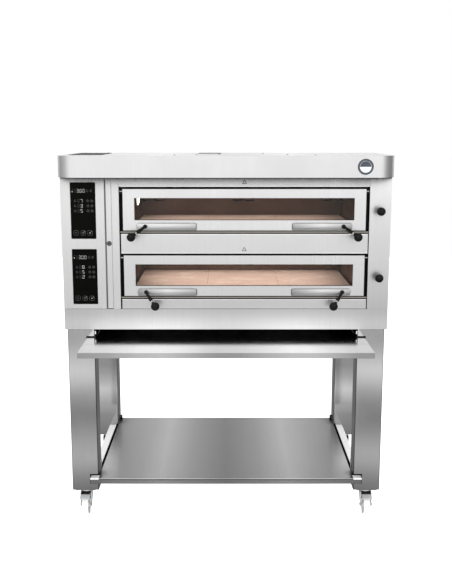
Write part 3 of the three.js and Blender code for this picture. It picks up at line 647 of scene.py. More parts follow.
# Tall pale screens stand to the left and right of the middle; by the sideways slope
FRONT_SCREENS = [(-0.2, 0.94), (-0.14, 0.94), (-0.105, 0.78), (-0.073, 1.3), (-0.037, 0.78), (-0.01, 0.94),
                 (0.05, 0.94), (0.078, 0.78), (0.112, 1.25), (0.145, 0.86), (0.2, 0.94)]
REAR_SCREENS = [(-0.16, 0.8), (-0.1, 1.0), (-0.07, 1.4), (-0.03, 0.75), (0.0, 0.6), (0.03, 0.75), (0.07, 1.4),
                (0.1, 1.0), (0.16, 0.8)]
# How the glow fades round the sides, from 0 straight in front to 1 straight behind
LEFT_FADE = [(0.0, 1.0), (0.05, 1.0), (0.14, 0.74), (0.25, 0.5), (0.5, 0.36), (0.67, 0.3), (0.82, 1.0)]
RIGHT_FADE = [(0.0, 1.0), (0.05, 0.98), (0.14, 0.5), (0.25, 0.3), (0.5, 0.22), (0.67, 0.2), (0.82, 1.0)]


WHITE = (1.0, 1.0, 1.0, 1.0)


def glow_ramp(graph, value, stops, offset=0.0):
    """The glow at a value; offset lifts values that start below 0 into the ramp's range."""
    return graph.ramp(value, tones([(place + offset, glow) for place, glow in stops]))


def add_world():
    """The studio that the steel mirrors; the background itself is white."""
    world = bpy.data.worlds.new("studio")
    world.use_nodes = True
    bpy.context.scene.world = world
    graph = Graph(world.node_tree)
    background = world.node_tree.nodes["Background"]
    direction = graph.add("SeparateXYZ", {0: graph.add("TexCoord").outputs["Generated"]}).outputs
    lift = graph.math("ADD", direction["Z"], 0.5)
    depth = graph.math("MAXIMUM", graph.math("ABSOLUTE", direction["Y"]), 0.001)
    slope = graph.math("ADD", graph.math("DIVIDE", direction["X"], depth), 0.5)
    level = graph.math("SUBTRACT", 1.001, graph.math("MULTIPLY", direction["Z"], direction["Z"]))
    turn = graph.math("DIVIDE", direction["Y"], graph.math("SQRT", level))
    turn = graph.math("ADD", graph.math("MULTIPLY", turn, 0.5), 0.5)
    front = graph.tint(glow_ramp(graph, lift, FRONT_GLOW, 0.5), glow_ramp(graph, slope, FRONT_SCREENS, 0.5))
    rear = graph.tint(glow_ramp(graph, lift, REAR_GLOW, 0.5), glow_ramp(graph, slope, REAR_SCREENS, 0.5))
    around = graph.blend(graph.span(turn, 0.6, 0.75), front, rear)
    fade = graph.blend(graph.span(direction["X"], -0.02, 0.02), glow_ramp(graph, turn, LEFT_FADE),
                       glow_ramp(graph, turn, RIGHT_FADE))
    mirrored = graph.blend(graph.span(direction["Z"], 0.55, 0.85), graph.tint(around, fade), WHITE)
    paths = graph.add("LightPath").outputs
    soft = graph.blend(paths["Is Diffuse Ray"], mirrored, shade(WHITE, 0.8))
    shown = graph.blend(paths["Is Camera Ray"], soft, WHITE)
    graph.feed(background.inputs["Color"], shown)


def add_light(name, place, target, size, power, colour=(1.0, 1.0, 1.0)):
    """A rectangular lamp that lights the scene but isn't mirrored in it."""
    data = bpy.data.lights.new(name, "AREA")
    data.shape = "RECTANGLE"
    data.size, data.size_y = size
    data.energy = power
    data.color = colour
    light = bpy.data.objects.new(name, data)
    light.location = place
    light.rotation_euler = (Vector(target) - Vector(place)).to_track_quat("-Z", "Y").to_euler()
    light.visible_glossy = False
    bpy.context.scene.collection.objects.link(light)


FLOOR_REACH = 9.0
FLOOR_THICKNESS = 0.03


def add_floor():
    """A white floor that is shaded only close to what stands on it."""
    material, graph = new_material("studio_floor", Roughness=0.9, Emission_Strength=0.9)
    speckle = graph.noise((3, 3, 3), 2.0)
    tone = graph.tint(graph.blend(speckle, grey(254), grey(255)), graph.crevice_shade(45 * MM, 0.72))
    graph.paint(Base_Color=tone, Emission_Color=tone)

    def sheet(shape):
        corners = [(-1, -1), (1, -1), (1, 1), (-1, 1)]
        outline = [(x * FLOOR_REACH, y * FLOOR_REACH, -FLOOR_THICKNESS) for x, y in corners]
        extrude_outline(shape, outline, (0, 0, FLOOR_THICKNESS))

    floor = add_object("studio_floor", sheet, material)
    floor.visible_glossy = False


CHAMBER_WATTS = {"upper": 1.45, "lower": 2.35}
CHAMBER_LIGHT = {"rise": 124 * MM, "size": (0.95, 0.6), "colour": (1.0, 0.86, 0.75)}


def add_studio():
    """World, floor, two soft lamps in front, and one lamp in each chamber."""
    bpy.context.scene.view_settings.view_transform = "Standard"
    add_world()
    add_floor()
    add_light("key", (-2.6, -3.8, 3.4), (0, 0, 1.2), (2.4, 1.6), 60)
    add_light("fill", (3.0, -3.2, 2.6), (0, 0, 1.1), (2.0, 2.0), 30)
    for deck in DECKS:
        low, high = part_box(f"{deck}_hearth_stone_centre")
        middle = (low + high) / 2
        place = Vector((middle.x, middle.y, high.z + CHAMBER_LIGHT["rise"]))
        add_light(f"{deck}_chamber_light", place, place - Vector((0, 0, 1)), CHAMBER_LIGHT["size"],
                  CHAMBER_WATTS[deck], CHAMBER_LIGHT["colour"])


# ---------------------------------------------------------------- finishes of the CAD nodes

NODE_BEVELS = {"satin_steel": 0.5 * MM, "stand_steel": 0.6 * MM, "shelf_steel": 0.6 * MM,
               "chamber_steel": 0.5 * MM, "hearth_stone": 1.5 * MM, "control_glass": 0.8 * MM,
               "door_glass": 0.5 * MM, "zinc_steel": 0.6 * MM, "pedal_plastic": 1.0 * MM}

NODE_FINISHES = {"upper_door_frame": DOOR_STEEL, "lower_door_frame": DOOR_STEEL, "canopy": CANOPY_STEEL,
                 "base_plinth": PLINTH_STEEL, "lower_shelf": LOWER_SHELF_STEEL,
                 "right_column": COLUMN_STEEL, "lower_panel": LOWER_PANEL_STEEL,
                 "leg_rear_left": REAR_LEG_STEEL, "leg_rear_right": REAR_LEG_STEEL,
                 "side_rail_left": RAIL_STEEL, "side_rail_right": RAIL_STEEL}


def dress_nodes():
    """Finishes every CAD node by its own finish or by its slot."""
    for part in frame["record"]["subparts"]:
        node, slot = part["node"], part["material_slot"]
        dress(node, NODE_FINISHES.get(node, MATERIALS[slot]), NODE_BEVELS.get(slot, 0.0))


# ---------------------------------------------------------------- doors

FLANGE = FRONT + 34 * MM  # the front of the chambers' flange
SILL_DROP = 6.2 * MM  # from the stones' top to the sill's, and also how thick the sill is
WINDOW_INSET = 15.7 * MM  # how far the glass reaches behind the window's edge
LEVER = {"stand_off": 75 * MM, "reach": 75 * MM, "ball": 20.5 * MM}
LEVER_DIPS = {"upper": (1, 36), "lower": (-1, 50)}  # outward or inward, and degrees below the horizontal


def add_lever(deck, place, side):
    """A lever on a round foot: a black sleeve with a thicker collar, a steel rod and a black ball."""
    body = f"{deck}_lever_{place}"
    pivot = joint_place(f"{body}_swivel")
    outward, dip = LEVER_DIPS[deck]
    angle = math.radians(dip)
    across = side * outward * LEVER["reach"] * math.cos(angle)
    plate_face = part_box(f"{deck}_door_plate_{place}")[0].y
    foot = Vector((pivot.x, plate_face - 0.3 * MM, pivot.z))
    root = foot - Vector((0, 7 * MM, 0))
    tip = Vector((pivot.x + across, pivot.y - LEVER["stand_off"], pivot.z - LEVER["reach"] * math.sin(angle)))
    length = (tip - root).length
    ball = LEVER["ball"]
    ball_start = length - ball
    neck = math.asin(6.2 * MM / ball)

    def grip(shape):
        turned(shape, foot, foot - Vector((0, 1, 0)), in_mm(
            (0, 0), (0, 9.4), (0.8, 10), (4.5, 10), (8, 8.6), (9, 6), (9.4, 0)))
        turned(shape, root, tip, [
            (-6 * MM, 0), (-5 * MM, 5 * MM), (0, 6.6 * MM), (0.3 * length, 6.8 * MM),
            (0.34 * length, 8.6 * MM), (0.5 * length, 8.8 * MM), (0.58 * length, 8 * MM),
            (0.6 * length, 6 * MM), (0.605 * length, 0)])
        turned(shape, root, tip, [
            (ball_start - 6 * MM, 0), (ball_start - 6 * MM, 7 * MM), (ball_start - 1 * MM, 7.4 * MM)]
            + ball_profile(length, ball, neck), 40)

    def rod(shape):
        turned(shape, root, tip, rod_profile(0.5 * length, ball_start + 2 * MM, 4 * MM))

    add_piece(f"{body}_grip", grip, "black_plastic", body, replaces=[f"{deck}_door_lever_{place}"])
    add_piece(f"{body}_rod", rod, "polished_steel", body)


# The tone of each polished plate at its left end, middle and right end, a painted reflection
PLATE_TONES = {("upper", "left"): (1.0, 0.92, 0.74), ("upper", "right"): (0.62, 0.92, 0.64),
               ("lower", "left"): (0.56, 0.92, 0.6), ("lower", "right"): (0.5, 0.88, 0.68)}


def add_door_plate(deck, place, side):
    """A polished plate with softened edges on the door's bottom rail, over a thin dark pad and a grey foot strip,
    both partly a real pad and partly painted shadow of the plate.
    """
    low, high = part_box(f"{deck}_door_plate_{place}")
    body = f"{deck}_door"
    inner = low.x if side > 0 else high.x

    def plate(shape):
        outline = rounded_outline(low.x, high.x, low.z, high.z, 3 * MM, high.y)
        extrude_outline(shape, outline, (0, low.y - high.y, 0), 0.6 * MM)

    stops = zip((low.x, (low.x + high.x) / 2, high.x), PLATE_TONES[deck, place])
    finish = steel(f"{deck}_{place}_plate_steel", grey(246), 0.45, SIDEWAYS_GRAIN,
                   bands=("X", list(stops)), **POLISH)
    add_piece(f"{deck}_handle_plate_{place}", plate, finish, body, "polished_steel",
              [f"{deck}_door_plate_{place}"])
    # Painted shadow at the plate's inner end and bottom, partly a real pad
    add_boxes(f"{deck}_plate_pad_{place}", DARK_AND_SHADE_GREY, (
        (inner, high.y - 3.5 * MM, low.z - 1.6 * MM),
        (inner - side * 2.4 * MM, high.y + 0.2 * MM, high.z), 0.3 * MM), body=body)
    # Painted shadow: a grey strip below the plate, down to the door's bottom
    add_boxes(f"{deck}_plate_foot_{place}", SHADE_LINE_GREY, (
        (low.x, high.y - 2.5 * MM, low.z - 5 * MM),
        (high.x, high.y + 0.2 * MM, low.z - 0.2 * MM), 0.4 * MM), body=body)


def add_sill(deck):
    """Near-black strips that stand in for shade, as painted shade: one that the closed door stands over, and one
    below the sill.
    """
    stone_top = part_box(f"{deck}_hearth_stone_centre")[1].z
    sill_top = stone_top - SILL_DROP
    left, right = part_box("left_post")[1].x + 3 * MM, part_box("right_column")[0].x - 3 * MM
    low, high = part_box("middle_panel" if deck == "upper" else "lower_panel")
    add_boxes(f"{deck}_sill_strip", SHADE_BLACK, (
        (left, FRONT + 3.5 * MM, sill_top), (right, FRONT + 31 * MM, sill_top + 3.1 * MM), 0.8 * MM))
    add_boxes(f"{deck}_sill_shade_line", SHADE_BLACK, (
        (low.x, FRONT + 2 * MM, high.z + 0.4 * MM),
        (high.x, FRONT + 5 * MM, sill_top - SILL_DROP - 0.3 * MM), 0.4 * MM))


def add_hinge_trim(deck, place, side):
    """The black bearing block behind each hinge pin, and the foot of the gap beside the door."""
    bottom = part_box(f"{deck}_door_glass")[0].z - 34 * MM
    pivot = joint_place(f"{deck}_door_hinge")
    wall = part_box("right_column")[0].x if side > 0 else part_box("left_post")[1].x
    inner = wall - side * 1.0 * MM
    outer = wall - side * 14.5 * MM
    add_boxes(f"{deck}_hinge_block_{place}", BLACK_AND_SHADE, (
        (inner, FLANGE - 10 * MM, pivot.z - 16 * MM), (outer, FLANGE, pivot.z + 14 * MM), 1.2 * MM))
    add_boxes(f"{deck}_gap_foot_{place}", "satin_steel", (
        (inner, FLANGE - 12 * MM, bottom), (outer, FLANGE, bottom + 7 * MM), 1.2 * MM))


def add_seal(name, outline, radius, sides, body):
    """A closed run of round seal."""
    def fill(shape):
        swept_ring(shape, outline, radius, sides)

    add_piece(name, fill, SEAL, body)


def add_door_seal(deck):
    """A woven rope seal on the flange, round the mouth of the chamber."""
    low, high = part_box(f"{deck}_door_glass")
    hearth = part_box(f"{deck}_hearth_stone_centre")[1].z
    outline = rounded_outline(low.x - 30 * MM, high.x + 30 * MM, hearth - 1 * MM, hearth + 169 * MM, 8 * MM,
                              FLANGE - 1.9 * MM)
    add_seal(f"{deck}_door_seal", outline, 1.75 * MM, 8, "oven_body")


def add_window_gasket(deck):
    """A thin dark line of gasket between the glass and the window's edge."""
    low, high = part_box(f"{deck}_door_glass")
    inset = WINDOW_INSET + 1 * MM
    outline = rounded_outline(low.x + inset, high.x - inset, low.z + inset, high.z - inset, 1.5 * MM,
                              low.y - 0.9 * MM, 3)
    add_seal(f"{deck}_window_gasket", outline, 0.9 * MM, 6, f"{deck}_door")


def add_doors():
    """Everything on and round both doors."""
    for deck in DECKS:
        add_door_seal(deck)
        add_window_gasket(deck)
        add_sill(deck)
        for place, side in SIDES:
            add_door_plate(deck, place, side)
            add_lever(deck, place, side)
            add_hinge_trim(deck, place, side)


# ---------------------------------------------------------------- chambers

def add_lamps():
    """A domed lens and its zinc ring on the chamber's side wall."""
    for deck in DECKS:
        low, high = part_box(f"{deck}_chamber_lamp")
        middle = (low + high) / 2
        radius = (high.z - low.z) / 2
        start, end = (low.x, middle.y, middle.z), (high.x, middle.y, middle.z)
        dome = [(0, 0), (0, radius), (0.12 * radius, radius), (0.2 * radius, 0.93 * radius),
                (0.28 * radius, 0.72 * radius), (0.32 * radius, 0.4 * radius), (0.335 * radius, 0)]
        rim = [(0, radius), (0, radius + 5 * MM), (3 * MM, radius + 5 * MM), (4 * MM, radius + 3 * MM),
               (4 * MM, radius + 0.2 * MM), (0, radius)]
        add_turned(f"{deck}_lamp_lens", "lamp_glass", start, end, dome, 48, replaces=[f"{deck}_chamber_lamp"])
        add_turned(f"{deck}_lamp_ring", "zinc_steel", start, end, rim, 48)


# ---------------------------------------------------------------- controls

PRINT = (0, -0.25 * MM, 0)  # how far printed and lit marks stand out
SEGMENTS = {  # which of the seven bars each number lights
    "0": "abcdef", "1": "bc", "2": "abged", "3": "abgcd", "4": "fgbc", "5": "afgcd", "6": "afgedc",
    "7": "abc", "8": "abcdefg", "9": "abcdfg",
}


def bar(shape, x0, x1, z0, z1, face):
    """A flat printed or lit bar that stands a hair in front of the glass."""
    extrude_outline(shape, [(x0, face, z0), (x1, face, z0), (x1, face, z1), (x0, face, z1)], PRINT)


def digit(shape, bars, x, z, width, height, face):
    """A seven-bar digit whose lower left corner is at x, z."""
    thick = 0.14 * width
    gap = 0.05 * width
    middle = z + height / 2
    spans = {
        "a": (x + thick, x + width - thick, z + height - thick, z + height),
        "d": (x + thick, x + width - thick, z, z + thick),
        "g": (x + thick, x + width - thick, middle - thick / 2, middle + thick / 2),
        "f": (x, x + thick, middle + gap, z + height - gap),
        "b": (x + width - thick, x + width, middle + gap, z + height - gap),
        "e": (x, x + thick, z + gap, middle - gap),
        "c": (x + width - thick, x + width, z + gap, middle - gap),
    }
    for name in bars:
        bar(shape, *spans[name], face)


def ring_mark(shape, x, z, radius, face, share=1.0):
    """A flat ring, or the given share of one, round x, z."""
    inner = radius - 1.3 * MM
    count = round(28 * share)
    angles = [math.radians(60) + 2 * math.pi * share * step / count for step in range(count + 1)]
    for first, second in zip(angles, angles[1:]):
        corners = [(first, radius), (second, radius), (second, inner), (first, inner)]
        outline = [(x + reach * math.cos(angle), face, z + reach * math.sin(angle))
                   for angle, reach in corners]
        extrude_outline(shape, outline, PRINT)


def stroke(shape, x0, z0, x1, z1, width, face):
    """A straight flat stroke between two points."""
    along = Vector((x1 - x0, 0, z1 - z0)).normalized()
    across = Vector((-along.z, 0, along.x)) * width / 2
    start, end = Vector((x0, face, z0)), Vector((x1, face, z1))
    extrude_outline(shape, [start - across, end - across, end + across, start + across], PRINT)


def square_mark(shape, x, z, half, width, face):
    """A rounded square outline round x, z."""
    for sign in (-1, 1):
        stroke(shape, x - half + 2 * MM, z + sign * half, x + half - 2 * MM, z + sign * half, width, face)
        stroke(shape, x + sign * half, z - half + 2 * MM, x + sign * half, z + half - 2 * MM, width, face)


KEY_SPOTS = (0.195, 0.48, 0.755)  # the three square keys, across the glass
KEY_ROW = 0.893  # and how far down it they are
LEVEL_TOP, LEVEL_PITCH = 0.352, 0.089  # the feet of the rows of levels, down the glass
ICON_RISE = 0.029  # from a level's foot up to the middle of its icons
DISPLAY_DIGIT = (9 * MM, 16.5 * MM)  # width and height
LEVEL_DIGIT = (10 * MM, 15.5 * MM)
PANEL_READINGS = {"upper": ("300", "735"), "lower": ("300", "852")}


def add_control_marks(deck):
    """Displays, icons and key outlines on one control glass, in shares of its width and height."""
    low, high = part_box(f"{deck}_control_glass")
    size = high - low
    face = low.y
    temperature, levels = PANEL_READINGS[deck]
    wide, tall = DISPLAY_DIGIT
    level_wide, level_tall = LEVEL_DIGIT
    rows = [LEVEL_TOP + LEVEL_PITCH * row for row in range(3)]

    def spot(across, down):
        return low.x + across * size.x, high.z - down * size.z

    def bars(shape, across, down, *spans):
        x, z = spot(across, down)
        for x0, x1, z0, z1 in spans:
            bar(shape, x + x0 * MM, x + x1 * MM, z + z0 * MM, z + z1 * MM, face)

    def strokes(shape, across, down, width, *lines):
        x, z = spot(across, down)
        for x0, z0, x1, z1 in lines:
            stroke(shape, x + x0 * MM, z + z0 * MM, x + x1 * MM, z + z1 * MM, width * MM, face)

    def lit(shape):
        for index, number in enumerate(temperature):
            digit(shape, SEGMENTS[number], *spot(0.265 + 0.118 * index, 0.176), wide, tall, face)
        for down, number in zip(rows, levels):
            digit(shape, SEGMENTS[number], *spot(0.4, down), level_wide, level_tall, face)
        bars(shape, 0.085, 0.158, (-1.6, 1.6, -3, 3))
        bars(shape, KEY_SPOTS[2], KEY_ROW, (-2.2, 2.2, -2.6, 1.4))
        for across in KEY_SPOTS[1:]:
            strokes(shape, across, KEY_ROW, 1.6, (5, 4, 8, 7))

    def dim(shape):
        digit(shape, SEGMENTS["8"], *spot(0.165, 0.176), wide, tall, face)
        for down in rows:
            digit(shape, SEGMENTS["8"], *spot(0.28, down), level_wide, level_tall, face)

    def icons(shape):
        ring_mark(shape, *spot(0.68, 0.145), 5.4 * MM, face, 0.85)
        strokes(shape, 0.83, 0.145, 1.4, (-5, -6, 5, 6), (-5, 6, 5, -6))
        for down in rows:
            middle = down - ICON_RISE
            ring_mark(shape, *spot(0.19, middle), 5.2 * MM, face, 0.82)
            for across in (0.7, 0.86):
                ring_mark(shape, *spot(across, middle), 6 * MM, face)
                bars(shape, across, middle, (-2.6, 2.6, -0.6, 0.6))
            bars(shape, 0.86, middle, (-0.6, 0.6, -2.6, -0.6), (-0.6, 0.6, 0.6, 2.6))
        for across in KEY_SPOTS:
            square_mark(shape, *spot(across, KEY_ROW), 11 * MM, 1.3 * MM, face)
        strokes(shape, KEY_SPOTS[0], KEY_ROW, 1.2, (-6, 0, 6, 0), (0, -6, 0, 6))
        x, z = spot(KEY_SPOTS[1], KEY_ROW)
        for step in range(4):
            angle = math.pi * step / 4
            across, rise = 6.5 * MM * math.cos(angle), 6.5 * MM * math.sin(angle)
            stroke(shape, x - across, z - rise, x + across, z + rise, 1.6 * MM, face)

    def wedge(shape):
        strokes(shape, 0.1, 0.118, 3, (-3, 0, 3, 1))

    add_piece(f"{deck}_display_lit", lit, DIGIT_LIT, "service_drawer")
    add_piece(f"{deck}_display_dim", dim, DIGIT_DIM, "service_drawer")
    add_piece(f"{deck}_touch_icons", icons, ICON_GREY, "service_drawer")
    add_piece(f"{deck}_red_mark", wedge, MARK_RED, "service_drawer")


def add_lock():
    """A quarter-turn lock: a bevelled head with a recessed face, a key slot and a washer."""
    pivot = joint_place("drawer_lock_turn")
    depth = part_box("drawer_lock")[0].y + 0.75 * MM
    start, end = (pivot.x, FRONT - 0.3 * MM, pivot.z), (pivot.x, FRONT - 1, pivot.z)
    head = in_mm((-20, 0), (-20, 7), (0, 7), (0, 11.5), (1.2, 11.5), (2.4, 10), (3.6, 9.4), (3.7, 8.2),
                 (3.0, 7.4), (2.9, 0))
    ring = in_mm((0, 11.6), (1.25, 11.6), (2.5, 10.1), (3.65, 9.5), (3.7, 7.6), (3.1, 7.5), (0, 7.5),
                 (0, 11.6))

    def around(half_x, half_z, front, back, bevel):
        return ((pivot.x - half_x * MM, front, pivot.z - half_z * MM),
                (pivot.x + half_x * MM, back, pivot.z + half_z * MM), bevel)

    add_turned("lock_head", DARK_AND_SHADE_GREY, start, end, head, 40, "drawer_lock", ["drawer_lock"])
    add_turned("lock_ring", DARK_AND_SHADE_GREY, start, end, ring, 40, "drawer_lock")
    add_boxes("lock_slot", BLACK_AND_SHADE,
              around(1.4, 5.6, depth - 0.2 * MM, depth + 1.4 * MM, 0.5 * MM),
              around(5.6, 0.9, depth - 0.1 * MM, depth + 1.3 * MM, 0.4 * MM), body="drawer_lock")
    add_boxes("lock_cam", "zinc_steel",
              around(8, 8, FRONT + 20 * MM, FRONT + 23 * MM, 1 * MM), body="drawer_lock")


DAMPER_BALL = 20.3 * MM


def add_dampers():
    """The damper pulls at the right: a steel rod in a flanged bush, with a black ball on a collar."""
    for deck in DECKS:
        low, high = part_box(f"{deck}_damper_pull")
        body = f"{deck}_damper"
        x = (low.x + high.x) / 2
        z = (low.z + high.z) / 2
        radius = DAMPER_BALL
        centre = low.y + radius
        start = centre + radius + 7 * MM
        distance = start - centre
        reach = high.y - centre - radius + 3 * MM
        knob = in_mm((0, 0), (0, 6.6), (1.2, 7.6)) + [(distance - radius - 0.6 * MM, 7.8 * MM)]
        knob += ball_profile(distance, radius, math.asin(7 * MM / radius))
        rod = in_mm((0, 0), (0, 3.4), (0.6, 4)) + [(reach, 4 * MM), (reach, 0)]
        bush = in_mm((0, 4.4), (0, 9.5), (1, 9.3), (1.9, 8), (2.2, 4.6), (0, 4.4))
        add_turned(f"{deck}_damper_knob", "black_plastic", (x, start, z), (x, centre, z), knob, 40, body,
                   [f"{deck}_damper_pull"])
        add_turned(f"{deck}_damper_rod", "polished_steel", (x, high.y, z), (x, centre, z), rod, 24, body)
        add_turned(f"{deck}_damper_bush", "zinc_steel", (x, FRONT, z), (x, FRONT - 1, z), bush, 32)


# ---------------------------------------------------------------- castors

# Half of a wheel's section, as shares of its radius and of half its width
WHEEL_SHARES = [(0.13, 1.0), (0.22, 1.0), (0.25, 0.93), (0.28, 0.72), (0.34, 0.62), (0.74, 0.6), (0.8, 0.66),
                (0.84, 0.9), (0.87, 0.97), (0.93, 0.97), (0.965, 0.9), (0.99, 0.74), (1.0, 0.5)]


def add_wheel(row, place):
    """A white nylon wheel: rounded tread, dished web with a hub, and a bore round the axle."""
    body = f"wheel_{row}_{place}"
    centre = joint_place(f"{body}_spin")
    low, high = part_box(f"castor_wheel_{row}_{place}")
    radius = centre.z - low.z
    half = (high.x - low.x) / 2
    near = [(-half * across, radius * out) for out, across in WHEEL_SHARES]
    far = [(half * across, radius * out) for out, across in reversed(WHEEL_SHARES)]
    add_turned(f"wheel_{row}_{place}_nylon", "white_wheel", centre, centre + Vector((1, 0, 0)),
               near + far + [near[0]], 72, body, [f"castor_wheel_{row}_{place}"])


FORK = {"cheek": (25 * MM, 28 * MM), "drop": 6 * MM, "front": 45 * MM, "rear": 24 * MM, "eye": 12 * MM,
        "head": 28 * MM, "bridge": 3 * MM, "bridge_front": 22 * MM}


def cheek_outline(x, swivel, axle, top):
    """The outline of a fork cheek: a broad head, a hollow back edge and a round eye at the axle."""
    points = [(x, swivel.y + FORK["rear"], top), (x, swivel.y - FORK["front"], top)]
    points.append((x, swivel.y - FORK["front"] - 2 * MM, top - 8 * MM))
    for step in range(13):
        angle = math.pi * (1 + step / 12)
        points.append((x, axle.y + FORK["eye"] * math.cos(angle), axle.z + FORK["eye"] * math.sin(angle)))
    start = Vector((x, axle.y + FORK["eye"], axle.z))
    bend = Vector((x, swivel.y + FORK["rear"] + 6 * MM, axle.z + 0.62 * (top - axle.z)))
    end = Vector(points[0])
    for step in range(1, 10):
        share = step / 10
        points.append(tuple(start * (1 - share) ** 2 + bend * 2 * share * (1 - share) + end * share ** 2))
    return points


def add_fork(row, place):
    """A pressed fork: two cheeks, a short bridge behind, a round head with its race that glows as painted light, a
    near-black plate of painted shade inside, and axle nuts.
    """
    body = f"castor_{row}_{place}"
    name = f"fork_{row}_{place}"
    swivel = joint_place(f"{body}_swivel")
    axle = joint_place(f"wheel_{row}_{place}_spin")
    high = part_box(f"castor_fork_{row}_{place}")[1]
    top = high.z - FORK["drop"]
    inner, outer = FORK["cheek"]
    foot = Vector((swivel.x, swivel.y, top - 2 * MM))
    rise = high.z - foot.z
    head = [(0, 0), (0, FORK["head"]), (rise - 1.2 * MM, FORK["head"]), (rise, FORK["head"] - 1.5 * MM),
            (rise, 0)]

    def cheeks(shape):
        for near, far in ((inner, outer), (-outer, -inner)):
            outline = cheek_outline(swivel.x + near, swivel, axle, top)
            extrude_outline(shape, outline, (far - near, 0, 0), 0.9 * MM)
        rounded_box(shape, (swivel.x - outer, swivel.y - FORK["bridge_front"], top - FORK["bridge"]),
                    (swivel.x + outer, swivel.y + FORK["rear"], top), 0.9 * MM)

    def nuts(shape):
        for sign in (-1, 1):
            start = axle + Vector((sign * outer, 0, 0))
            end = axle + Vector((sign * high.x, 0, 0))
            turned(shape, start, end, in_mm((-1, 0), (-1, 9), (0.7, 9), (1.1, 8.2), (1.1, 0)), 28)
            turned(shape, start, end, in_mm((1, 0), (1, 7.2), (2.6, 7.2), (3, 6.4), (3, 0)), 6)

    add_piece(f"{name}_cheeks", cheeks, "zinc_steel", body, replaces=[f"castor_{name}"])
    # Painted light: the head glows
    add_turned(f"{name}_head", PAINTED_LIGHT_STEEL, foot, foot + Vector((0, 0, 1)), head, 56, body)
    # Painted shade: a near-black plate inside the fork
    add_boxes(f"{name}_web", BLACK_AND_SHADE, (
        (swivel.x - inner - 0.4 * MM, swivel.y - 17 * MM, axle.z + 20 * MM),
        (swivel.x + inner + 0.4 * MM, swivel.y - 14.5 * MM, top - 1 * MM), 0.6 * MM), body=body)
    add_turned(f"{name}_axle", "zinc_steel", axle - Vector((inner, 0, 0)), axle,
               rod_profile(-1 * MM, 2 * inner + 1 * MM, 6 * MM), 28, body)
    add_piece(f"axle_nuts_{row}_{place}", nuts, BLACK_AND_SHADE, body)


PEDAL = {"tongue": 22 * MM, "plate": 25 * MM, "back": 4 * MM, "bend": 22 * MM, "thickness": 3.5 * MM,
         "bar": 24 * MM, "tip_drop": 9.5 * MM}


def add_pedal(place):
    """A dark brake tongue on its hinge bar, with a pale ribbed plate for the foot."""
    body = f"brake_{place}"
    hinge = joint_place(f"{body}_press")
    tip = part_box(f"brake_pedal_{place}")[0].y
    bend, thickness = hinge.y - PEDAL["bend"], PEDAL["thickness"]
    bend_z, tip_z = hinge.z + 0.5 * MM, hinge.z - PEDAL["tip_drop"]

    def tongue(shape):
        x = hinge.x - PEDAL["tongue"]
        back, back_z = hinge.y + PEDAL["back"], hinge.z - 0.5 * MM
        outline = [(x, back, back_z), (x, back, back_z + thickness), (x, bend, bend_z + thickness),
                   (x, bend, bend_z)]
        extrude_outline(shape, outline, (2 * PEDAL["tongue"], 0, 0), 0.6 * MM)
        bar_end = hinge - Vector((PEDAL["bar"], 0, 0))
        turned(shape, bar_end, hinge, rod_profile(0, 2 * PEDAL["bar"], 3 * MM), 20)

    def plate(shape):
        x = hinge.x - PEDAL["plate"]
        start = bend + 4 * MM
        outline = [(x, start, bend_z), (x, start, bend_z + thickness), (x, bend, bend_z + thickness),
                   (x, tip, tip_z + thickness), (x, tip, tip_z), (x, bend, bend_z)]
        extrude_outline(shape, outline, (2 * PEDAL["plate"], 0, 0), 0.8 * MM)

    ribs = []
    for share in (0.25, 0.5, 0.75):
        y = bend + share * (tip - bend)
        z = bend_z + share * (tip_z - bend_z) + thickness
        ribs.append(((hinge.x - 0.8 * PEDAL["plate"], y - 1 * MM, z - 0.6 * MM),
                     (hinge.x + 0.8 * PEDAL["plate"], y + 1 * MM, z + 0.5 * MM), 0.4 * MM))

    add_piece(f"{body}_tongue", tongue, BLACK_AND_SHADE, body, replaces=[f"brake_pedal_{place}"])
    add_piece(f"{body}_plate", plate, "pedal_plastic", body)
    add_boxes(f"{body}_ribs", "pedal_plastic", *ribs, body=body)


def add_castors():
    """Four castors; the front pair have pedals."""
    for place in ("left", "right"):
        add_pedal(place)
        for row in ("front", "rear"):
            add_wheel(row, place)
            add_fork(row, place)


# ---------------------------------------------------------------- casing details

def screw_head(shape, place, outward, radius=4.2 * MM):
    """A pan-head screw with a cross recess, sunk a little into the sheet."""
    place, outward = Vector(place), Vector(outward)
    turned(shape, place - outward * 0.4 * MM, place + outward, [
        (0, 0), (0, radius), (0.9 * MM, radius), (1.9 * MM, radius * 0.86), (2.5 * MM, radius * 0.5),
        (2.6 * MM, radius * 0.3), (1.7 * MM, radius * 0.22), (1.6 * MM, 0)], 20)


SHEET = 1.5 * MM  # the thickness of the casing's panels


def add_rating_plate():
    """A blank rating plate on four rivets, low on the rear panel."""
    low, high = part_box("rear_panel")
    face = low.y + SHEET
    left, right = high.x - 190 * MM, high.x - 80 * MM
    bottom, top = low.z + 90 * MM, low.z + 150 * MM

    def plate(shape):
        outline = rounded_outline(left, right, bottom, top, 4 * MM, face - 0.1 * MM)
        extrude_outline(shape, outline, (0, 0.9 * MM, 0), 0.3 * MM)

    def rivets(shape):
        dome = in_mm((0, 0), (0, 2.4), (1.3, 2.2), (1.9, 1.4), (2.1, 0))
        for x in (left + 6 * MM, right - 6 * MM):
            for z in (bottom + 6 * MM, top - 6 * MM):
                turned(shape, (x, face, z), (x, face + 1, z), dome, 16)

    add_piece("rating_plate", plate, LABEL_PALE)
    add_piece("rating_plate_rivets", rivets, "zinc_steel")


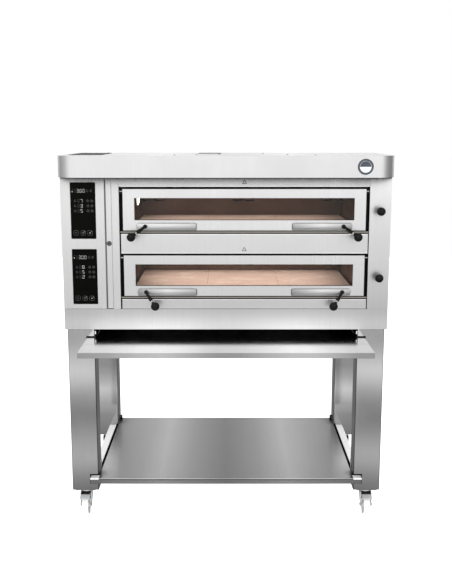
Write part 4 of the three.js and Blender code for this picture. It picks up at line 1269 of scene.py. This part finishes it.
def add_screws():
    """Screws round the rear panel's edge and along the side panels."""
    rear_low, rear_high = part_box("rear_panel")
    side_low, side_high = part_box("side_panel_right")

    def rear(shape):
        size = rear_high - rear_low
        rows = {0.04: (0.02, 0.25, 0.5, 0.75, 0.98), 0.35: (0.02, 0.98), 0.65: (0.02, 0.98)}
        rows[0.96] = rows[0.04]
        for z_share, x_shares in rows.items():
            z = rear_low.z + z_share * size.z
            for x_share in x_shares:
                screw_head(shape, (rear_low.x + x_share * size.x, rear_low.y + SHEET, z), (0, 1, 0))

    def sides(shape):
        size = side_high - side_low
        for sign in (-1, 1):
            for z_share in (0.05, 0.95):
                for y_share in (0.05, 0.5, 0.95):
                    place = (sign * side_high.x, side_low.y + y_share * size.y, side_low.z + z_share * size.z)
                    screw_head(shape, place, (sign, 0, 0))

    add_piece("rear_panel_screws", rear, "zinc_steel")
    add_piece("side_panel_screws", sides, "zinc_steel")


def add_underside():
    """Near-black sheets that stand in for shade, as painted shade: one under the plinth, and one inside each front
    leg.
    """
    low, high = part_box("base_plinth")
    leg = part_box("leg_front_right")[0]
    half = leg.x - 5 * MM
    shelf_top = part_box("work_shelf")[1].z
    add_boxes("plinth_underside_shade", SHADE_BLACK, (
        (-half, low.y + 1 * MM, low.z - 2.4 * MM), (half, high.y - 4 * MM, low.z - 0.1 * MM), 0.5 * MM))
    add_boxes("leg_inside_shade", SHADE_BLACK, *(
        ((side * (leg.x - 3 * MM), leg.y + 8 * MM, shelf_top + 2 * MM),
         (side * (leg.x - 5 * MM), high.y - 8 * MM, low.z - 0.6 * MM), 0.4 * MM) for _, side in SIDES))


def add_shelf_edge():
    """The rolled front edge of the lower shelf, with a dark strip under it that is painted shade in the groove."""
    low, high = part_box("lower_shelf")
    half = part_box("leg_front_right")[0].x - 0.5 * MM
    add_boxes("lower_shelf_roll", "shelf_steel", (
        (-half, low.y - 1.5 * MM, high.z - 7 * MM), (half, low.y + 4 * MM, high.z + 0.3 * MM), 2.4 * MM, 4))
    add_boxes("lower_shelf_groove_shade", STRIP_GREY, (
        (-half, low.y - 0.4 * MM, high.z - 11.5 * MM), (half, low.y + 0.6 * MM, high.z - 7.5 * MM), 0.3 * MM))


def add_post_details():
    """The dark line between the post's two strips, the dark strip in the gap beside the drawer and the near-black
    line at the left strip's foot, all painted shade, and the foot's polished edge.
    """
    low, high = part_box("left_post")
    drawer_low, drawer_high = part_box("drawer_front")
    joint = low.x + 26 * MM
    add_boxes("post_joint_line", SHADE_LINE_GREY, (
        (joint - 0.9 * MM, low.y - 0.1 * MM, low.z), (joint + 0.9 * MM, low.y + 0.7 * MM, high.z), 0.2 * MM))
    add_boxes("drawer_gap_strip", STRIP_GREY, (
        (drawer_high.x + 0.8 * MM, low.y + 1.5 * MM, drawer_low.z),
        (low.x - 0.1 * MM, low.y + 14 * MM, drawer_high.z), 0.5 * MM))
    add_boxes("post_foot_gap", SHADE_BLACK, (
        (low.x, low.y - 0.2 * MM, low.z + 0.2 * MM), (joint, low.y + 0.6 * MM, low.z + 3.4 * MM), 0.2 * MM))
    add_boxes("post_foot_edge", "polished_steel", (
        (low.x, low.y - 0.6 * MM, low.z + 3.6 * MM), (joint, low.y + 0.4 * MM, low.z + 6 * MM), 0.4 * MM))


def add_canopy_joint():
    """The dark joint where the casing goes up behind the canopy's lip, also painted shadow under the lip."""
    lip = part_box("canopy")[0].z
    left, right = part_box("drawer_front")[0].x + 2 * MM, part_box("right_column")[1].x - 2 * MM
    add_boxes("canopy_joint_shade", BLACK_AND_SHADE, (
        (left, FRONT - 1.2 * MM, lip - 6.5 * MM), (right, FRONT - 0.4 * MM, lip + 3 * MM), 0.3 * MM))


def add_bright_edges():
    """Painted highlights: near-white strips along the folded edges of the panels beside the doors."""
    low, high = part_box("middle_panel")
    edges = {
        "middle_panel_top": high.z - 1.2 * MM,
        "middle_panel_bottom": low.z + 1.2 * MM,
        "lower_panel_top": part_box("lower_panel")[1].z - 1.2 * MM,
        "top_strip_bottom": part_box("top_cover")[0].z + 1.2 * MM,
    }
    for name, height in edges.items():
        add_boxes(f"{name}_edge", EDGE_HIGHLIGHT, (
            (low.x, FRONT - 0.5 * MM, height - 1.3 * MM),
            (high.x, FRONT + 0.5 * MM, height + 1.3 * MM), 0.4 * MM))


def add_triangles():
    """Small plain triangle outlines over each door."""
    glass_low, glass_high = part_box("upper_door_glass")
    middle = (glass_low.x + glass_high.x) / 2
    strip_low, strip_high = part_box("top_cover")
    heights = {"upper": (strip_low.z + strip_high.z) / 2, "lower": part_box("middle_panel")[0].z + 20 * MM}
    reach = 11 * MM

    for deck, height in heights.items():
        def outline(shape, height=height):
            corners = [(middle + reach * math.sin(angle), height + reach * math.cos(angle) - 2 * MM)
                       for angle in (2 * math.pi * step / 3 for step in range(3))]
            for first, second in zip(corners, corners[1:] + corners[:1]):
                stroke(shape, *first, *second, 2.3 * MM, FRONT)

        add_piece(f"{deck}_triangle_outline", outline, BLACK_AND_SHADE)


def add_badge():
    """A blank round badge at the right of the canopy's front."""
    low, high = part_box("canopy")
    x = high.x - 144 * MM
    z = (low.z + high.z) / 2
    start, end = (x, low.y, z), (x, low.y - 1, z)
    rim = in_mm((0, 27), (0, 37), (0.5, 37), (0.8, 36), (0.8, 27), (0, 27))

    def upper_half(shape):
        angles = [math.pi * step / 24 for step in range(25)]
        arc = [(x + 26 * MM * math.cos(angle), low.y - 0.3 * MM, z + 26 * MM * math.sin(angle))
               for angle in angles]
        extrude_outline(shape, arc, (0, -0.5 * MM, 0))

    add_turned("badge_rim", LABEL_DARK, start, end, rim, 56)
    add_turned("badge_face", LABEL_PALE, start, end, rod_profile(0, 0.6 * MM, 27 * MM), 56)
    add_piece("badge_upper_half", upper_half, LABEL_DARK)


# Each screw's place: share of the roof's width, and millimetres back from the front
ROOF_SCREWS = [(0.345, 120), (0.41, 210), (0.478, 280), (0.618, 400), (0.688, 210), (0.769, 120)]


def add_roof_details():
    """The vent grille on the left of the roof, a low lid by the middle, and a few screws."""
    low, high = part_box("canopy")
    roof = high.z
    vent_x = (low.x + 38 * MM, low.x + 198 * MM)
    vent_y = (low.y + 140 * MM, low.y + 510 * MM)
    slats = 15
    pitch = (vent_x[1] - vent_x[0]) / slats
    grille = []
    for index in range(slats):
        x = vent_x[0] + (index + 0.5) * pitch
        rise = random.uniform(1.4, 4.6) * MM
        grille.append(((x - 0.3 * pitch, vent_y[0], roof - 0.6 * MM),
                       (x + 0.3 * pitch, vent_y[1], roof + rise), 0.6 * MM))
    for y in vent_y:
        grille.append(((vent_x[0], y - 4 * MM, roof - 0.6 * MM),
                       (vent_x[1], y + 4 * MM, roof + 2.4 * MM), 1 * MM))

    def screws(shape):
        for x_share, depth in ROOF_SCREWS:
            place = (low.x + x_share * (high.x - low.x), low.y + depth * MM, roof)
            screw_head(shape, place, (0, 0, 1), 5 * MM)

    add_boxes("roof_grille", STRIP_GREY, *grille)
    add_boxes("roof_lid", "satin_steel", (
        (low.x + 650 * MM, low.y + 400 * MM, roof - 0.6 * MM),
        (low.x + 766 * MM, low.y + 560 * MM, roof + 3 * MM), 1.2 * MM))
    add_piece("roof_screws", screws, STRIP_GREY)


def add_leg_details(place, side):
    """The folded tabs on a front leg, which glow as painted light, near-black sheets of painted shade in its notch
    and by the rail, the small screwed bracket, and the shelf's clip.
    """
    low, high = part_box(f"leg_front_{place}")
    inner = low.x if side > 0 else high.x
    notch = inner + side * 42 * MM
    rail_low, rail_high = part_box(f"side_rail_{place}")
    rail_inner = rail_low.x if side > 0 else rail_high.x
    rail_top = rail_high.z
    rear_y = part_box(f"leg_rear_{place}")[0].y
    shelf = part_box("lower_shelf")[1]
    half = low.x if side > 0 else -high.x
    plate = inner - side * 0.2 * MM

    def screws(shape):
        for rise in (26, 52):
            place = (inner - side * 1.8 * MM, low.y + 98 * MM, rail_top + rise * MM)
            screw_head(shape, place, (-side, 0, 0), 3.4 * MM)

    # Painted light: the tabs glow
    add_boxes(f"shelf_lip_tab_{place}", PAINTED_LIGHT_STEEL,
              ((inner, low.y + 0.4 * MM, shelf.z - 0.2 * MM),
               (notch, low.y + 38.5 * MM, shelf.z + 0.6 * MM), 0.2 * MM),
              ((inner, low.y - 1.2 * MM, shelf.z - 6.5 * MM),
               (notch, low.y + 0.6 * MM, shelf.z + 0.6 * MM), 0.3 * MM))
    # Painted shade: a near-black sheet at the back of the notch
    add_boxes(f"leg_notch_back_{place}", SHADE_BLACK, (
        (inner, low.y + 39.4 * MM, shelf.z - 1 * MM),
        (notch, low.y + 41.4 * MM, shelf.z + 22.6 * MM), 0.3 * MM))
    add_boxes(f"leg_top_tab_{place}", PAINTED_LIGHT_STEEL, (
        (inner, low.y + 2 * MM, high.z - 24 * MM),
        (inner - side * 6 * MM, low.y + 4 * MM, high.z - 9 * MM), 0.5 * MM))
    # Painted shade: a near-black strip in the gap by the rail
    add_boxes(f"rail_gap_strip_{place}", SHADE_BLACK, (
        (side * (half + 0.4 * MM), high.y + 2 * MM, shelf.z - 7 * MM),
        (side * (abs(rail_inner) - 0.4 * MM), rear_y - 2 * MM, shelf.z - 3 * MM), 0.5 * MM))
    add_boxes(f"shelf_clip_{place}", BLACK_AND_SHADE, (
        (side * (half - 1 * MM), shelf.y - 14 * MM, shelf.z - 0.2 * MM),
        (side * (half - 10 * MM), shelf.y - 3 * MM, shelf.z + 22 * MM), 2 * MM))
    add_boxes(f"leg_bracket_{place}", "polished_steel", (
        (plate, low.y + 86 * MM, rail_top + 16 * MM),
        (plate - side * 1.6 * MM, high.y - 1 * MM, rail_top + 62 * MM), 0.6 * MM))
    add_piece(f"leg_bracket_screws_{place}", screws, BLACK_AND_SHADE)


# ---------------------------------------------------------------- everything

add_camera()
add_studio()
dress_nodes()
add_doors()
add_lamps()
for control_deck in DECKS:
    add_control_marks(control_deck)
add_lock()
add_dampers()
add_castors()
add_screws()
add_rating_plate()
add_underside()
add_shelf_edge()
add_post_details()
add_canopy_joint()
add_bright_edges()
add_triangles()
add_badge()
add_roof_details()
for leg_place, leg_side in SIDES:
    add_leg_details(leg_place, leg_side)
